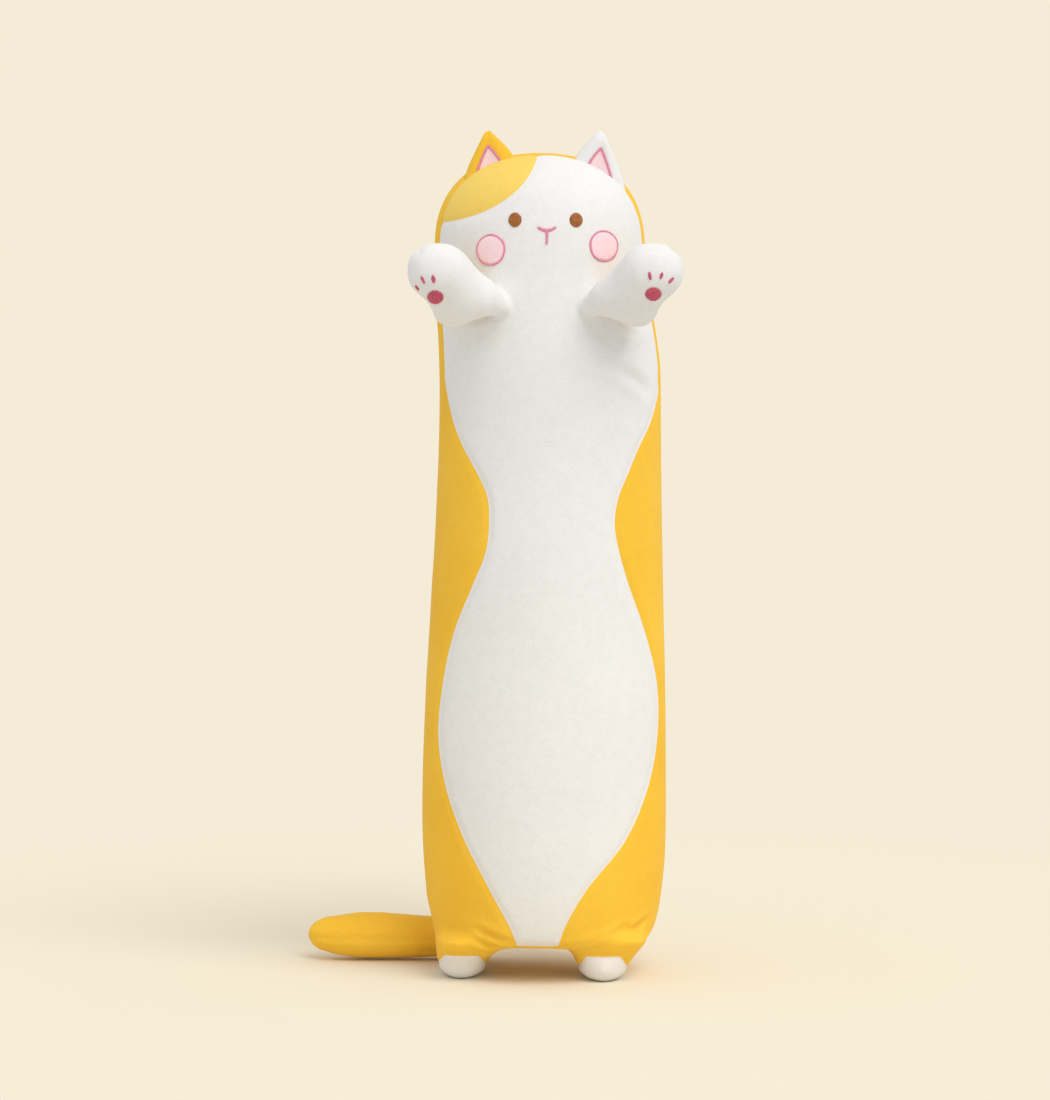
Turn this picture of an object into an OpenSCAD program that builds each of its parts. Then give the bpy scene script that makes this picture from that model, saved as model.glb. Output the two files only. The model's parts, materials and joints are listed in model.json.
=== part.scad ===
// Tall plush cat pillow that stands on two short feet.
// Millimetres. +Z is up and the face looks along -Y. The origin is on the floor, under the
// middle of the toy's length and depth; the modules build about the body's axis instead.
// Angles round the body start at the face and grow towards +X.

/* [Heights above the floor] */
// Crown of the head, without the ears
crown_h = 680; // [560:1:830]
// Height of the dome above the widest part of the head
dome_rise = 78; // [66:1:96]
// Distance of the chest's narrowest part below the crown
chest_drop = 190; // [180:1:230]
// Widest part of the hips
hip_h = 132; // [110:1:190]
// Flat seat between the feet
crotch_h = 29; // [22:1:40]

/* [Body] */
// Width across the head
head_w = 175; // [145:1:205]
// Depth of the head, front to back
head_d = 152; // [130:1:185]
// Width across the chest
chest_w = 184; // [155:1:215]
// Depth of the chest, front to back
chest_d = 158; // [130:1:190]
// Width across the hips
hip_w = 204; // [175:1:240]
// Depth of the hips, front to back
hip_d = 172; // [140:1:205]
// Width of the flat seat
seat_w = 170; // [145:1:172]
// Depth of the flat seat, front to back
seat_d = 132; // [110:1:138]
// Sideways place of the head
head_shift = -6; // [-12:1:12]
// Sideways place of the chest
chest_shift = 3; // [-12:1:12]
// Sideways place of the hips
hip_shift = -2; // [-12:1:12]
// Squareness of the head's dome, where 2 is an ellipse
dome_square = 2.35; // [2:0.05:3.5]

/* [Fabric] */
// Thickness of the plush fabric
fabric_t = 1.6; // [1:0.1:2.5]
// Clearance between a fabric shell and its stuffing
fill_gap = 2.2; // [1.8:0.1:2.8]
// Clearance between an ear's fabric and its thin padding
ear_fill_gap = 0.5; // [0.4:0.05:0.7]
// Gap between two panels at their seam
seam_gap = 0.5; // [0.3:0.05:0.8]
// Height of an embroidered mark above the fabric
stitch_t = 1.2; // [0.8:0.1:2]

/* [Seams of the front panel] */
// Half angle of the white panel at the seat
seat_seam = 12; // [8:1:18]
// Height of the white belly's widest part
belly_h = 205; // [170:1:250]
// Half angle of the white panel at the belly
belly_seam = 66; // [55:1:74]
// Distance of the white waist below the crown
waist_drop = 304; // [280:1:330]
// Half angle of the white panel at the waist
waist_seam = 34; // [28:1:42]
// Distance below the crown at which the side seam becomes straight
collar_drop = 175; // [165:1:200]
// Half angle of the side seam on the chest and head
side_seam = 77; // [70:1:84]

/* [Head patch] */
// Distance of the patch's lower edge below the crown
patch_drop = 63; // [50:1:65]
// Angle that the lower edge reaches towards the face
patch_reach = 45; // [35:1:55]
// Distance below the crown at which the patch's edge meets the middle of the head
patch_top_drop = 13; // [10:1:28]

/* [Face] */
// Distance of the eyes below the crown
eye_drop = 60; // [52:1:82]
// Distance of each eye from the middle of the face
eye_x = 24.5; // [20:0.5:32]
// Width of an eye
eye_w = 10.6; // [8:0.1:14]
// Height of an eye
eye_tall = 11.6; // [9:0.1:15]
// Distance of the cheek spots below the crown
cheek_drop = 82; // [76:0.5:100]
// Height of the right cheek spot above the left one
cheek_slant = 3.5; // [0:0.5:6]
// Distance of each cheek spot from the middle of the face
cheek_x = 45.5; // [40:0.5:52]
// Width of a cheek spot, with its outline
cheek_w = 24; // [18:0.5:28]
// Height of a cheek spot, with its outline
cheek_tall = 26.5; // [20:0.5:30]
// Width of the stitched outline of a cheek spot
outline_w = 1.8; // [1.2:0.1:3]
// Distance of the nose below the crown
nose_drop = 68; // [66:1:82]
// Width of the nose's two wings together
nose_w = 14; // [11:0.5:20]
// Length of the line below the nose
mouth_len = 12; // [6:0.5:15]
// Thickness of the nose and mouth lines
mouth_line = 3; // [2:0.1:4]

/* [Ears] */
// Distance of each ear's tip from the middle of the head
ear_tip_x = 47; // [40:1:54]
// Distance of each ear's inner corner from the middle of the head
ear_in_x = 23; // [18:1:28]
// Distance of each ear's outer corner from the middle of the head
ear_out_x = 67; // [60:1:72]
// Height of the ear tips above the crown
ear_rise = 18; // [10:1:30]
// Sideways place of the pair of ears
ear_shift = -2; // [-10:1:10]
// Distance of the ears in front of the middle of the head
ear_ahead = 20; // [0:1:24]
// Half thickness of an ear at its edge seam
ear_edge = 2.6; // [2.5:0.1:3]
// Swell of each side of an ear over its edge
ear_swell = 3.2; // [1.5:0.1:4.5]
// Clearance between an ear's base and the head
ear_gap = 2.8; // [2.4:0.1:5]

/* [Arms] */
// Distance of the shoulders below the crown
shoulder_drop = 131; // [128:1:170]
// Angle of each shoulder round the body from the face
shoulder_angle = 35; // [30:1:42]
// Diameter of an arm at the shoulder
arm_d = 46; // [38:1:56]
// Diameter of the paw
paw_d = 49; // [40:1:58]
// Distance from the shoulder's centre to the paw's centre
arm_len = 49; // [44:1:70]
// Depth that a shoulder nests in the chest
shoulder_nest = 9; // [6:0.5:12]
// Lean of an arm towards the front
arm_forward = 35; // [20:1:50]
// Lean of an arm out from upright
arm_out = 46; // [25:1:60]
// Angle that the white palm side wraps round the arm, to each side
palm_reach = 104; // [90:1:145]
// Clearance between a shoulder and the dimple that it sits in
shoulder_gap = 2.2; // [2:0.1:4]

/* [Paw marks] */
// Turn of the marks round the arm, towards the outside
palm_turn = 36; // [0:1:50]
// Width of the pad
pad_w = 15; // [11:0.5:18]
// Length of the pad along the arm
pad_tall = 11; // [8:0.5:14]
// Distance of the pad's centre from the paw's centre, towards the shoulder
pad_back = 4; // [0:0.5:6]
// Distance of the toes from the pad's centre, towards the tip
toe_ahead = 18; // [14:0.5:20]
// Sideways spacing of the toes
toe_step = 9; // [6:0.5:11]
// Turn of the pad and the toes towards upright
mark_turn = 15; // [0:1:30]
// Length of a toe mark
toe_len = 7; // [5:0.5:9]
// Width of a toe mark
toe_w = 3; // [2:0.1:4]

/* [Legs and feet] */
// Distance of each foot from the middle of the pair
foot_x = 58; // [50:0.5:62]
// Sideways place of the pair of feet
foot_shift = -12; // [-16:1:8]
// Width of a foot
foot_w = 43; // [34:1:48]
// Length of a foot, front to back
foot_len = 82; // [66:1:96]
// Distance of the feet ahead of the body's middle
foot_ahead = 11; // [2:1:16]
// Distance of the right foot ahead of the left one
foot_lead = 14; // [0:1:16]
// Width of a leg where it leaves the body
leg_w = 54; // [46:1:58]
// Distance of each leg's top from the middle of the pair
leg_x = 55; // [46:0.5:56]
// Height of the white foot cap
cap_h = 19; // [12:1:21]
// Radius of the foot's rounded lower edge
sole_round = 8; // [4:0.5:10]

/* [Tail] */
// Thickness of the tail's round end
tail_d = 38; // [32:1:46]
// Thickness of the tail's root
tail_root_d = 34; // [28:1:38]
// Height of the tail's root; the round end lies on the floor
tail_root_h = 20; // [19:1:32]
// Distance from the tail's root to the centre of its round tip
tail_len = 122; // [90:1:150]
// Angle of the tail's root round the body from the face
tail_angle = 227; // [220:1:232]
// Depth that the tail's root nests in the body
tail_nest = 4.5; // [3:0.5:7]
// Clearance between the tail's root and the dimple that it sits in
tail_gap = 4.2; // [3.5:0.1:5]
// Turn of the tail back from the sideways direction
tail_turn = 0; // [-8:1:30]

/* [Hidden] */

WHITE = [0.94, 0.93, 0.91];
YELLOW = [0.96, 0.75, 0.28];
PALE_YELLOW = [0.95, 0.81, 0.42];
FIBRE = [0.97, 0.97, 0.95];
BROWN = [0.52, 0.27, 0.10];
PINK = [0.90, 0.56, 0.66];
PALE_PINK = [0.96, 0.82, 0.83];
CRIMSON = [0.82, 0.32, 0.42];

// Heights that follow the crown
head_h = crown_h - dome_rise;
chest_h = crown_h - chest_drop;
waist_h = crown_h - waist_drop;
collar_h = crown_h - collar_drop;
shoulder_h = crown_h - shoulder_drop;
patch_h = crown_h - patch_drop;
patch_top_h = crown_h - patch_top_drop;
eye_h = crown_h - eye_drop;
cheek_h = crown_h - cheek_drop;
nose_h = crown_h - nose_drop;

// Stations of the trunk from the hips up: height, half width, half depth, sideways place
TRUNK = [
    [hip_h, hip_w / 2, hip_d / 2, hip_shift],
    [chest_h, chest_w / 2, chest_d / 2, chest_shift],
    [head_h, head_w / 2, head_d / 2, head_shift],
];
// Stations of the white panel's edge: height, half angle
SEAM = [
    [crotch_h, seat_seam],
    [belly_h, belly_seam],
    [waist_h, waist_seam],
    [collar_h, side_seam],
];
// The patch's lower edge climbs this much from the side seam to its reach, over a few close rows
patch_step = 2.4;
patch_step_rows = 4;
// In a dimple the skin's layers lie this many times further apart than elsewhere
dimple_spread = 1.5;
// Rows of the skin from the seat to the crown
seat_rows = [0.05, 0.45, 0.7, 0.84, 0.94];
hip_rows = 6;
trunk_rows = 13;
shoulder_rows = 9;
cheek_rows = 2;
dome_rows = 8;
// Half height of the finely divided band at the shoulders
shoulder_band = arm_d / 2 + 6;
// Columns of the skin's panels and turns of the stuffing
front_columns = 18;
back_columns = 30;
patch_columns = 7;
stuffing_turns = 32;
// Angle that a column of a tube's skin spans
tube_column = 19;
// Embroidered marks float this far above the skin
mark_lift = 0.35;
// Sideways places of the nose and of the middle between the eyes
nose_middle = -0.5;
eye_middle = -1.5;

arm_r = arm_d / 2;
paw_r = paw_d / 2;
tail_r = tail_d / 2;
tail_root_r = tail_root_d / 2;
// A shoulder's dimple clears the arm's thicker end, so its edge also stays clear of the arm
shoulder_dimple_r = max(arm_r, paw_r) + shoulder_gap;
tail_dimple_r = tail_root_r + tail_gap;
// Slope of the tail, which brings its round tip down to the floor
tail_slope = asin((tail_root_h - tail_r) / tail_len);

// ---- Small helpers ----

function ease(t) = t * t * (3 - 2 * t);
function mix(a, b, t) = a + (b - a) * t;

// Value in column c at height z, easing from station to station
function along(stations, z, c, i = 0) =
    z <= stations[i][0] ? stations[i][c] :
    i == len(stations) - 1 ? stations[i][c] :
    z < stations[i + 1][0]
        ? mix(stations[i][c], stations[i + 1][c],
              ease((z - stations[i][0]) / (stations[i + 1][0] - stations[i][0])))
        : along(stations, z, c, i + 1);

function quad(a, b, c, d) = [[a, b, c], [a, c, d]];

// Triangles between the rows of a grid, facing out where rows rise and columns turn left to right
function grid_faces(rows, cols, first, closed) = [
    for (i = [0:rows - 2], j = [0:cols - (closed ? 1 : 2)])
        let (a = first + i * cols, b = a + cols, k = (j + 1) % cols)
            each quad(a + j, b + j, b + k, a + k)
];

// Closed solid through rings of points; with loop, the last ring joins the first
module loft(rings, loop = false) {
    n = len(rings[0]);
    m = len(rings);
    sides = grid_faces(m, n, 0, true);
    ends = loop
        ? [for (j = [0:n - 1]) let (k = (j + 1) % n) each quad((m - 1) * n + j, j, k, (m - 1) * n + k)]
        : [[for (j = [0:n - 1]) j], [for (j = [n - 1:-1:0]) (m - 1) * n + j]];
    polyhedron(points = [for (r = rings) each r], faces = concat(sides, ends));
}

// Thin solid between an outer and an inner grid of the same rows and columns
module sheet(outer, inner) {
    m = len(outer);
    n = len(outer[0]);
    o = m * n;
    faces = concat(
        grid_faces(m, n, 0, false),
        [for (f = grid_faces(m, n, o, false)) [f[2], f[1], f[0]]],
        [for (j = [0:n - 2]) each quad(j, j + 1, o + j + 1, o + j)],
        [for (j = [0:n - 2]) let (a = (m - 1) * n + j) each quad(a + 1, a, o + a, o + a + 1)],
        [for (i = [0:m - 2]) let (a = i * n) each quad(a + n, a, o + a, o + a + n)],
        [for (i = [0:m - 2]) let (a = i * n + n - 1) each quad(a, a + n, o + a + n, o + a)]
    );
    polyhedron(points = concat([for (r = outer) each r], [for (r = inner) each r]), faces = faces);
}

// ---- Skin of the body ----

// Rows of the whole skin: height, half width, half depth, sideways place
function trunk_row(z) = [z, along(TRUNK, z, 1), along(TRUNK, z, 2), along(TRUNK, z, 3)];
function hip_row(t) =
    let (z = hip_h - (hip_h - crotch_h) * sin(t), k = cos(t))
        [z, mix(seat_w, hip_w, k) / 2, mix(seat_d, hip_d, k) / 2, hip_shift];
function dome_row(t) =
    let (k = pow(cos(t), 2 / dome_square), rise = pow(sin(t), 2 / dome_square))
        [head_h + (crown_h - head_h) * rise, head_w / 2 * k, head_d / 2 * k, head_shift];
// The dome's angle at height z
function dome_angle(z) = asin(pow((z - head_h) / (crown_h - head_h), dome_square / 2));

shoulder_low = shoulder_h - shoulder_band;
shoulder_high = min(shoulder_h + shoulder_band, head_h - 10);
dome_end = 89;

ROWS = concat(
    [for (k = seat_rows) [crotch_h, seat_w / 2 * k, seat_d / 2 * k, hip_shift]],
    [for (i = [0:hip_rows - 1]) hip_row(90 * (1 - i / hip_rows))],
    [for (i = [0:trunk_rows - 1]) trunk_row(mix(hip_h, shoulder_low, i / trunk_rows))],
    [for (i = [0:shoulder_rows - 1]) trunk_row(mix(shoulder_low, shoulder_high, i / shoulder_rows))],
    [for (i = [0:cheek_rows - 1]) trunk_row(mix(shoulder_high, head_h, i / cheek_rows))],
    [dome_row(0)],
    [for (i = [0:patch_step_rows]) dome_row(dome_angle(patch_h + patch_step * i / patch_step_rows))],
    [for (i = [1:dome_rows]) dome_row(mix(dome_angle(patch_h + patch_step), dome_end, i / dome_rows))]
);
// First row that the head patch lies on
patch_row = len(ROWS) - dome_rows - patch_step_rows;

// A row drawn in by a depth s
function inset(row, s) = [
    row[0] + s - 2 * s * (row[0] - crotch_h) / (crown_h - crotch_h),
    max(row[1] - s, 1), max(row[2] - s, 1), row[3]
];

function radius_at(w, d, a) = 1 / sqrt(pow(sin(a) / w, 2) + pow(cos(a) / d, 2));

// Centre of a ball of radius r that nests in the body at height z and angle a round it
function nest_centre(z, a, r, sink) =
    let (row = z < hip_h ? hip_row(asin((hip_h - max(z, crotch_h)) / (hip_h - crotch_h))) : trunk_row(z),
         out = radius_at(row[1], row[2], a) + r - sink)
        [row[3] + out * sin(a), -out * cos(a), z];

SHOULDER_LEFT = nest_centre(shoulder_h, -shoulder_angle, arm_r, shoulder_nest);
SHOULDER_RIGHT = nest_centre(shoulder_h, shoulder_angle, arm_r, shoulder_nest);
TAIL_ROOT = nest_centre(tail_root_h, tail_angle, tail_root_r, tail_nest);

// Point p moved out of the ball of radius r about c
function clear_of(p, c, r) =
    let (v = p - c, far = norm(v))
        far < r ? c + v * (r / far) : p;

// Point on the skin at row, angle a and depth s, with dimples for the shoulders and the tail
function skin_point(row, a, s) =
    let (q = inset(row, s),
         p = [q[3] + q[1] * sin(a), -q[2] * cos(a), q[0]],
         deep = dimple_spread * s,
         shoulder = shoulder_dimple_r + deep)
        clear_of(clear_of(clear_of(p, SHOULDER_LEFT, shoulder), SHOULDER_RIGHT, shoulder),
                 TAIL_ROOT, tail_dimple_r + deep);

// Angle that spans half a seam gap on a row
function gap_angle(row) = seam_gap / 2 / row[1] * 180 / PI;

// Edges of the white panel, and the front edge of the back panel, as angles
function front_edge(row) = along(SEAM, row[0], 1);
function patch_edge(z) =
    z < patch_h + patch_step
        ? -mix(side_seam, patch_reach, (z - patch_h) / patch_step)
        : -patch_reach * pow(max((patch_top_h - z) / (patch_top_h - patch_h - patch_step), 0), 2.3);

// Grid of skin points on rows from first on, between two edge angles per row
function skin_grid(first, from, to, cols, s) = [
    for (i = [first:len(ROWS) - 1])
        let (a = from[i] + gap_angle(ROWS[i]), b = to[i] - gap_angle(ROWS[i]))
            [for (j = [0:cols]) skin_point(ROWS[i], mix(a, b, j / cols), s)]
];

FRONT_LEFT = [for (i = [0:len(ROWS) - 1])
    i < patch_row ? -front_edge(ROWS[i]) : patch_edge(ROWS[i][0])];
FRONT_RIGHT = [for (row = ROWS) front_edge(row)];
BACK_LEFT = [for (row = ROWS) 360 - front_edge(row)];
PATCH_LEFT = [for (row = ROWS) -front_edge(row)];

module skin_panel(first, from, to, cols) {
    sheet(skin_grid(first, from, to, cols, 0), skin_grid(first, from, to, cols, fabric_t));
}

module front_panel() {
    color(WHITE) skin_panel(0, FRONT_LEFT, FRONT_RIGHT, front_columns);
}

module back_panel() {
    color(YELLOW) skin_panel(0, FRONT_RIGHT, BACK_LEFT, back_columns);
}

module head_patch() {
    color(PALE_YELLOW) skin_panel(patch_row, PATCH_LEFT, FRONT_LEFT, patch_columns);
}

module body_stuffing() {
    color(FIBRE)
        loft([for (row = ROWS) [for (j = [0:stuffing_turns - 1])
            skin_point(row, 360 * j / stuffing_turns, fabric_t + fill_gap)]]);
}

// Ladder stitches that close the stuffing opening under the seat
module closing_stitches() {
    count = 8;
    pitch = 5;
    thread = [1, 8, 0.8];
    color(YELLOW)
        for (i = [0:count - 1])
            translate([hip_shift + (i - (count - 1) / 2) * pitch, 0, crotch_h - thread[2] / 2 - 0.5])
                cube(thread, center = true);
}

// ---- Marks that lie on the face ----

// The front skin's row at height z, on the trunk or the dome
function row_at(z) = z > head_h ? dome_row(dome_angle(z)) : trunk_row(z);

// Point at x and z on the front of the body, raised by lift
function face_point(x, z, lift) =
    let (row = row_at(z), k = (x - row[3]) / row[1])
        [x, -(row[2] + lift) * sqrt(1 - k * k), z];

// Solid on the face from rings of [x, z] points; the inner rings rise by the crown
module face_mark(rings, thick) {
    // Share of the thickness that is left at the outer ring
    rim = 0.4;
    m = len(rings);
    lower = [for (i = [0:m - 1]) [for (p = rings[i]) face_point(p[0], p[1], mark_lift)]];
    upper = [for (i = [m - 1:-1:0]) [for (p = rings[i])
        face_point(p[0], p[1], mark_lift + thick * mix(1, rim, i / (m - 1)))]];
    loft(concat(lower, upper));
}

function oval(cx, cz, w, h, n) = [
    for (j = [0:n - 1]) [cx + w / 2 * cos(360 * j / n), cz - h / 2 * sin(360 * j / n)]
];

module eye(side) {
    x = eye_middle + side * eye_x;
    color(BROWN)
        face_mark([for (k = [0.15, 0.6, 1]) oval(x, eye_h, eye_w * k, eye_tall * k, 14)], stitch_t);
}

module cheek(side) {
    x = side * cheek_x;
    z = cheek_h + side * cheek_slant / 2;
    w = cheek_w - 2 * outline_w - seam_gap;
    tall = cheek_tall - 2 * outline_w - seam_gap;
    color(PALE_PINK)
        face_mark([for (k = [0.1, 0.55, 1]) oval(x, z, w * k, tall * k, 20)], stitch_t * 0.6);
}

module cheek_outline(side) {
    x = side * cheek_x;
    z = cheek_h + side * cheek_slant / 2;
    turns = 24;
    inner = oval(x, z, cheek_w - 2 * outline_w, cheek_tall - 2 * outline_w, turns);
    outer = oval(x, z, cheek_w, cheek_tall, turns);
    top = mark_lift + stitch_t;
    color(PINK)
        loft([
            for (ring = [[inner, mark_lift], [outer, mark_lift], [outer, top], [inner, top]])
                [for (p = ring[0]) face_point(p[0], p[1], ring[1])]
        ], loop = true);
}

// The nose's two wings and the mouth's upright line, one stitched stroke each
module nose_mouth() {
    half = mouth_line / 2;
    wing = nose_w / 2;
    steps = 6;
    // The wings start this far beside the middle and climb this far to their tips
    part = 0.4;
    climb = 3.4;
    // The upright line starts this far below the nose
    below = 2.6;
    color(PINK) {
        for (side = [-1, 1]) {
            // Centre line of a wing, from the middle out and up
            centre = [for (i = [0:steps]) let (t = i / steps)
                [nose_middle + side * (part + wing * t), nose_h - part * half + climb * t * t]];
            stroke(centre, half, side);
        }
        stroke([for (i = [0:4]) [nose_middle, nose_h - mix(below, mouth_len, i / 4)]], half * 0.8, 1);
    }
}

// A stitched stroke along [x, z] points; side gives the sense in which the points turn
module stroke(centre, half, side) {
    n = len(centre) - 1;
    low = mark_lift;
    // How much of the width the rounded ends lose
    rounding = 0.72;
    dir = [for (i = [0:n])
        let (d = centre[min(i + 1, n)] - centre[max(i - 1, 0)]) d / norm(d)];
    wide = [for (i = [0:n]) half * sqrt(1 - rounding * pow(2 * i / n - 1, 4))];
    a = [for (i = [0:n]) centre[i] + [-dir[i][1], dir[i][0]] * wide[i] * side];
    b = [for (i = [0:n]) centre[i] - [-dir[i][1], dir[i][0]] * wide[i] * side];
    rings = [for (i = [0:n]) [
        face_point(a[i][0], a[i][1], low), face_point(b[i][0], b[i][1], low),
        face_point(b[i][0], b[i][1], low + stitch_t), face_point(a[i][0], a[i][1], low + stitch_t)
    ]];
    loft(side > 0 ? rings : [for (i = [n:-1:0]) rings[i]]);
}

// ---- Ears ----

// Height of the dome over sideways place x, under the back of the ears
function dome_over(x) =
    let (ahead = max(ear_ahead - ear_edge - ear_swell, 0),
         k = norm([(x - head_shift) / (head_w / 2), ahead / (head_d / 2)]))
        head_h + (crown_h - head_h) * pow(1 - pow(k, dome_square), 1 / dome_square);

// The ear's blunt tip ends at this share of its height
ear_tip_share = 0.93;
// The ear's sides curve outwards by this much at mid height
ear_bulge = 3.2;
// Shares of an ear that its stuffing fills across and up
ear_fill_wide = 0.96;
ear_fill_foot = 0.02;
ear_fill_top = 0.97;
ear_fill_swell = 0.9;
// Width, foot and top of the pink inside of an ear, as shares of the ear
ear_inner_share = 0.5;
ear_inner_foot = 0.02;
ear_inner_top = 0.62;
ear_inner_t = 0.7;
// The inner ear and its outline float this far in front of the ear
ear_mark_lift = 0.15;
ear_stitch_w = 1.5;

// Point of an ear: s from its inner to its outer corner, t from base to tip, lift off the head
function ear_point(side, s, t, lift) =
    let (bx = ear_shift + side * mix(ear_in_x, ear_out_x, s),
         base = [bx, dome_over(bx) + lift],
         tip = [ear_shift + side * ear_tip_x, crown_h + ear_rise],
         wide = ear_bulge * 4 * t * (1 - t) * (2 * s - 1) * side)
        mix(base, tip, t) + [wide, 0];

// Swell of an ear's side over its edge, fullest a quarter of the way up
function swell(s, t) =
    ear_swell * sqrt(1 - pow(2 * s - 1, 2)) * mix(0.45, 1, sin(180 * min(t + 0.25, 1)));

// Grid over an ear within share of its width and from t0 up to t1, at depth y0 + k * swell
function ear_grid(side, share, t0, t1, y0, k) =
    let (rows = 6, cols = 8)
    [for (i = [0:rows]) [for (j = [0:cols])
        let (t = mix(t0, t1, i / rows),
             s = 0.5 + (j / cols - 0.5) * share,
             p = ear_point(side, side > 0 ? s : 1 - s, t * ear_tip_share, ear_gap))
            [p[0], y0 - ear_ahead + k * swell(s, t), p[1]]]];

module ear_front(side) {
    sheet(ear_grid(side, 1, 0, 1, -ear_edge, -1), ear_grid(side, 1, 0, 1, -ear_edge + fabric_t, -1));
}

module ear_back_piece(side) {
    sheet(ear_grid(side, 1, 0, 1, ear_edge - fabric_t, 1), ear_grid(side, 1, 0, 1, ear_edge, 1));
}

module ear_stuffing(side) {
    half = ear_edge - fabric_t - ear_fill_gap;
    color(FIBRE)
        sheet(ear_grid(side, ear_fill_wide, ear_fill_foot, ear_fill_top, -half, -ear_fill_swell),
              ear_grid(side, ear_fill_wide, ear_fill_foot, ear_fill_top, half, ear_fill_swell));
}

module ear_inner(side) {
    y0 = -ear_edge - ear_mark_lift;
    color(PALE_PINK)
        sheet(ear_grid(side, ear_inner_share, ear_inner_foot, ear_inner_top, y0 - ear_inner_t, -1),
              ear_grid(side, ear_inner_share, ear_inner_foot, ear_inner_top, y0, -1));
}

// Two stitched lines up the sides of the pink inner ear
module ear_outline(side) {
    y0 = -ear_edge - ear_mark_lift;
    rows = 6;
    wide = ear_stitch_w;
    // The lines stand this share of the ear outside the pink inside
    apart = 0.04;
    color(PINK)
        for (edge = [0, 1]) {
            path = [for (i = [0:rows])
                let (t = mix(ear_inner_foot, ear_inner_top + ear_inner_foot, i / rows),
                     s = 0.5 + (edge - 0.5) * (ear_inner_share + apart),
                     p = ear_point(side, side > 0 ? s : 1 - s, t * ear_tip_share, ear_gap))
                    [p[0], y0 - ear_ahead - swell(s, t), p[1]]];
            dx = edge == 1 ? wide : -wide;
            a = edge == 1 ? 0 : dx;
            sheet([for (p = path) [p + [a, -stitch_t, 0], p + [a + wide, -stitch_t, 0]]],
                  [for (p = path) [p + [a, 0, 0], p + [a + wide, 0, 0]]]);
        }
}

// ---- Arms and tail, each a tube with two round ends ----

// Radius of a tube at distance l from its root's centre
function tube_radius(l, root, tip, len) =
    l < 0 ? sqrt(max(root * root - l * l, 0)) :
    l > len ? sqrt(max(tip * tip - (l - len) * (l - len), 0)) :
    mix(root, tip, ease(l / len));

// Places along a tube for its rings: round root, straight middle, round tip
function tube_places(root, tip, len) =
    let (steps = 4, middle = 3, last = 82)
    concat(
        [for (i = [0:steps]) -root * sin(mix(last, 0, i / steps))],
        [for (i = [1:middle - 1]) len * i / middle],
        [for (i = [0:steps]) len + tip * sin(mix(0, last, i / steps))]
    );

// Point of a tube that rises along Z, at distance l, angle a and depth s
function tube_point(l, a, s, root, tip, len) =
    let (r = tube_radius(l, root, tip, len), k = r < s + 1 ? 1 : r - s,
         end = l < 0 ? -root : len + tip,
         draw = l < 0 ? s * -l / root : l > len ? -s * (l - len) / tip : 0)
        [k * sin(a), -k * cos(a), l + draw];

// Part of a tube's skin between two angles
module tube_panel(from, to, root, tip, len) {
    cols = ceil((to - from) / tube_column);
    gap = seam_gap / root * 180 / PI / 2;
    grids = [for (s = [0, fabric_t])
        [for (l = tube_places(root, tip, len)) [for (j = [0:cols])
            tube_point(l, mix(from + gap, to - gap, j / cols), s, root, tip, len)]]];
    sheet(grids[0], grids[1]);
}

module tube_stuffing(root, tip, len) {
    turns = 16;
    depth = fabric_t + fill_gap;
    loft([for (l = tube_places(root, tip, len)) [for (j = [0:turns - 1])
        tube_point(l, 360 * j / turns, depth, root, tip, len)]]);
}

// Oval mark on the palm side, from a ring outline given as [along, across] in millimetres
module palm_mark(along_c, across_c, long, wide, tilt, n) {
    levels = [0.15, 0.6, 1];
    // Shares of a stitch's thickness at the mark's middle and at its rim
    crown = 1.3;
    rim = 0.6;
    ring = function (k, lift) [for (j = [0:n - 1])
        let (u = wide / 2 * k * cos(360 * j / n), v = -long / 2 * k * sin(360 * j / n),
             x = across_c + u * cos(tilt) - v * sin(tilt),
             l = along_c + u * sin(tilt) + v * cos(tilt),
             r = tube_radius(l, arm_r, paw_r, arm_len),
             a = palm_turn + x / paw_r * 180 / PI)
            [(r + lift) * sin(a), -(r + lift) * cos(a),
             l + (l > arm_len ? lift * (l - arm_len) / paw_r : 0)]];
    loft(concat(
        [for (k = levels) ring(k, mark_lift)],
        [for (i = [2:-1:0]) ring(levels[i], mark_lift + stitch_t * mix(crown, rim, levels[i]))]
    ));
}

// Puts an arm built along Z at its shoulder; side is -1 for the left and 1 for the right
module at_shoulder(side) {
    translate(side < 0 ? SHOULDER_LEFT : SHOULDER_RIGHT)
        mirror([side < 0 ? 1 : 0, 0, 0])
            rotate([0, arm_out, 0])
                rotate([arm_forward, 0, 0])
                    children();
}

module arm_palm_side(side) {
    color(WHITE) at_shoulder(side) tube_panel(-palm_reach, palm_reach, arm_r, paw_r, arm_len);
}

module arm_back_side(side) {
    color(YELLOW) at_shoulder(side) tube_panel(palm_reach, 360 - palm_reach, arm_r, paw_r, arm_len);
}

module arm_stuffing(side) {
    color(FIBRE) at_shoulder(side) tube_stuffing(arm_r, paw_r, arm_len);
}

module arm_pad(side) {
    color(CRIMSON) at_shoulder(side)
        palm_mark(arm_len - pad_back, 0, pad_tall, pad_w, -mark_turn, 18);
}

// The outer toes stand lower than the middle one and lean outwards
module arm_toes(side) {
    lower = 1.5;
    lean = 14;
    color(CRIMSON) at_shoulder(side)
        for (i = [-1, 0, 1]) {
            ahead = toe_ahead - lower * abs(i);
            aside = i * toe_step;
            palm_mark(arm_len - pad_back + ahead * cos(mark_turn) + aside * sin(mark_turn),
                      aside * cos(mark_turn) - ahead * sin(mark_turn),
                      toe_len, toe_w, -lean * i - mark_turn, 10);
        }
}

// Puts the tail, built along Z, at its root on the floor behind the body
module at_tail() {
    translate(TAIL_ROOT) rotate([0, 0, -tail_turn]) rotate([0, -90 - tail_slope, 0]) children();
}

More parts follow.
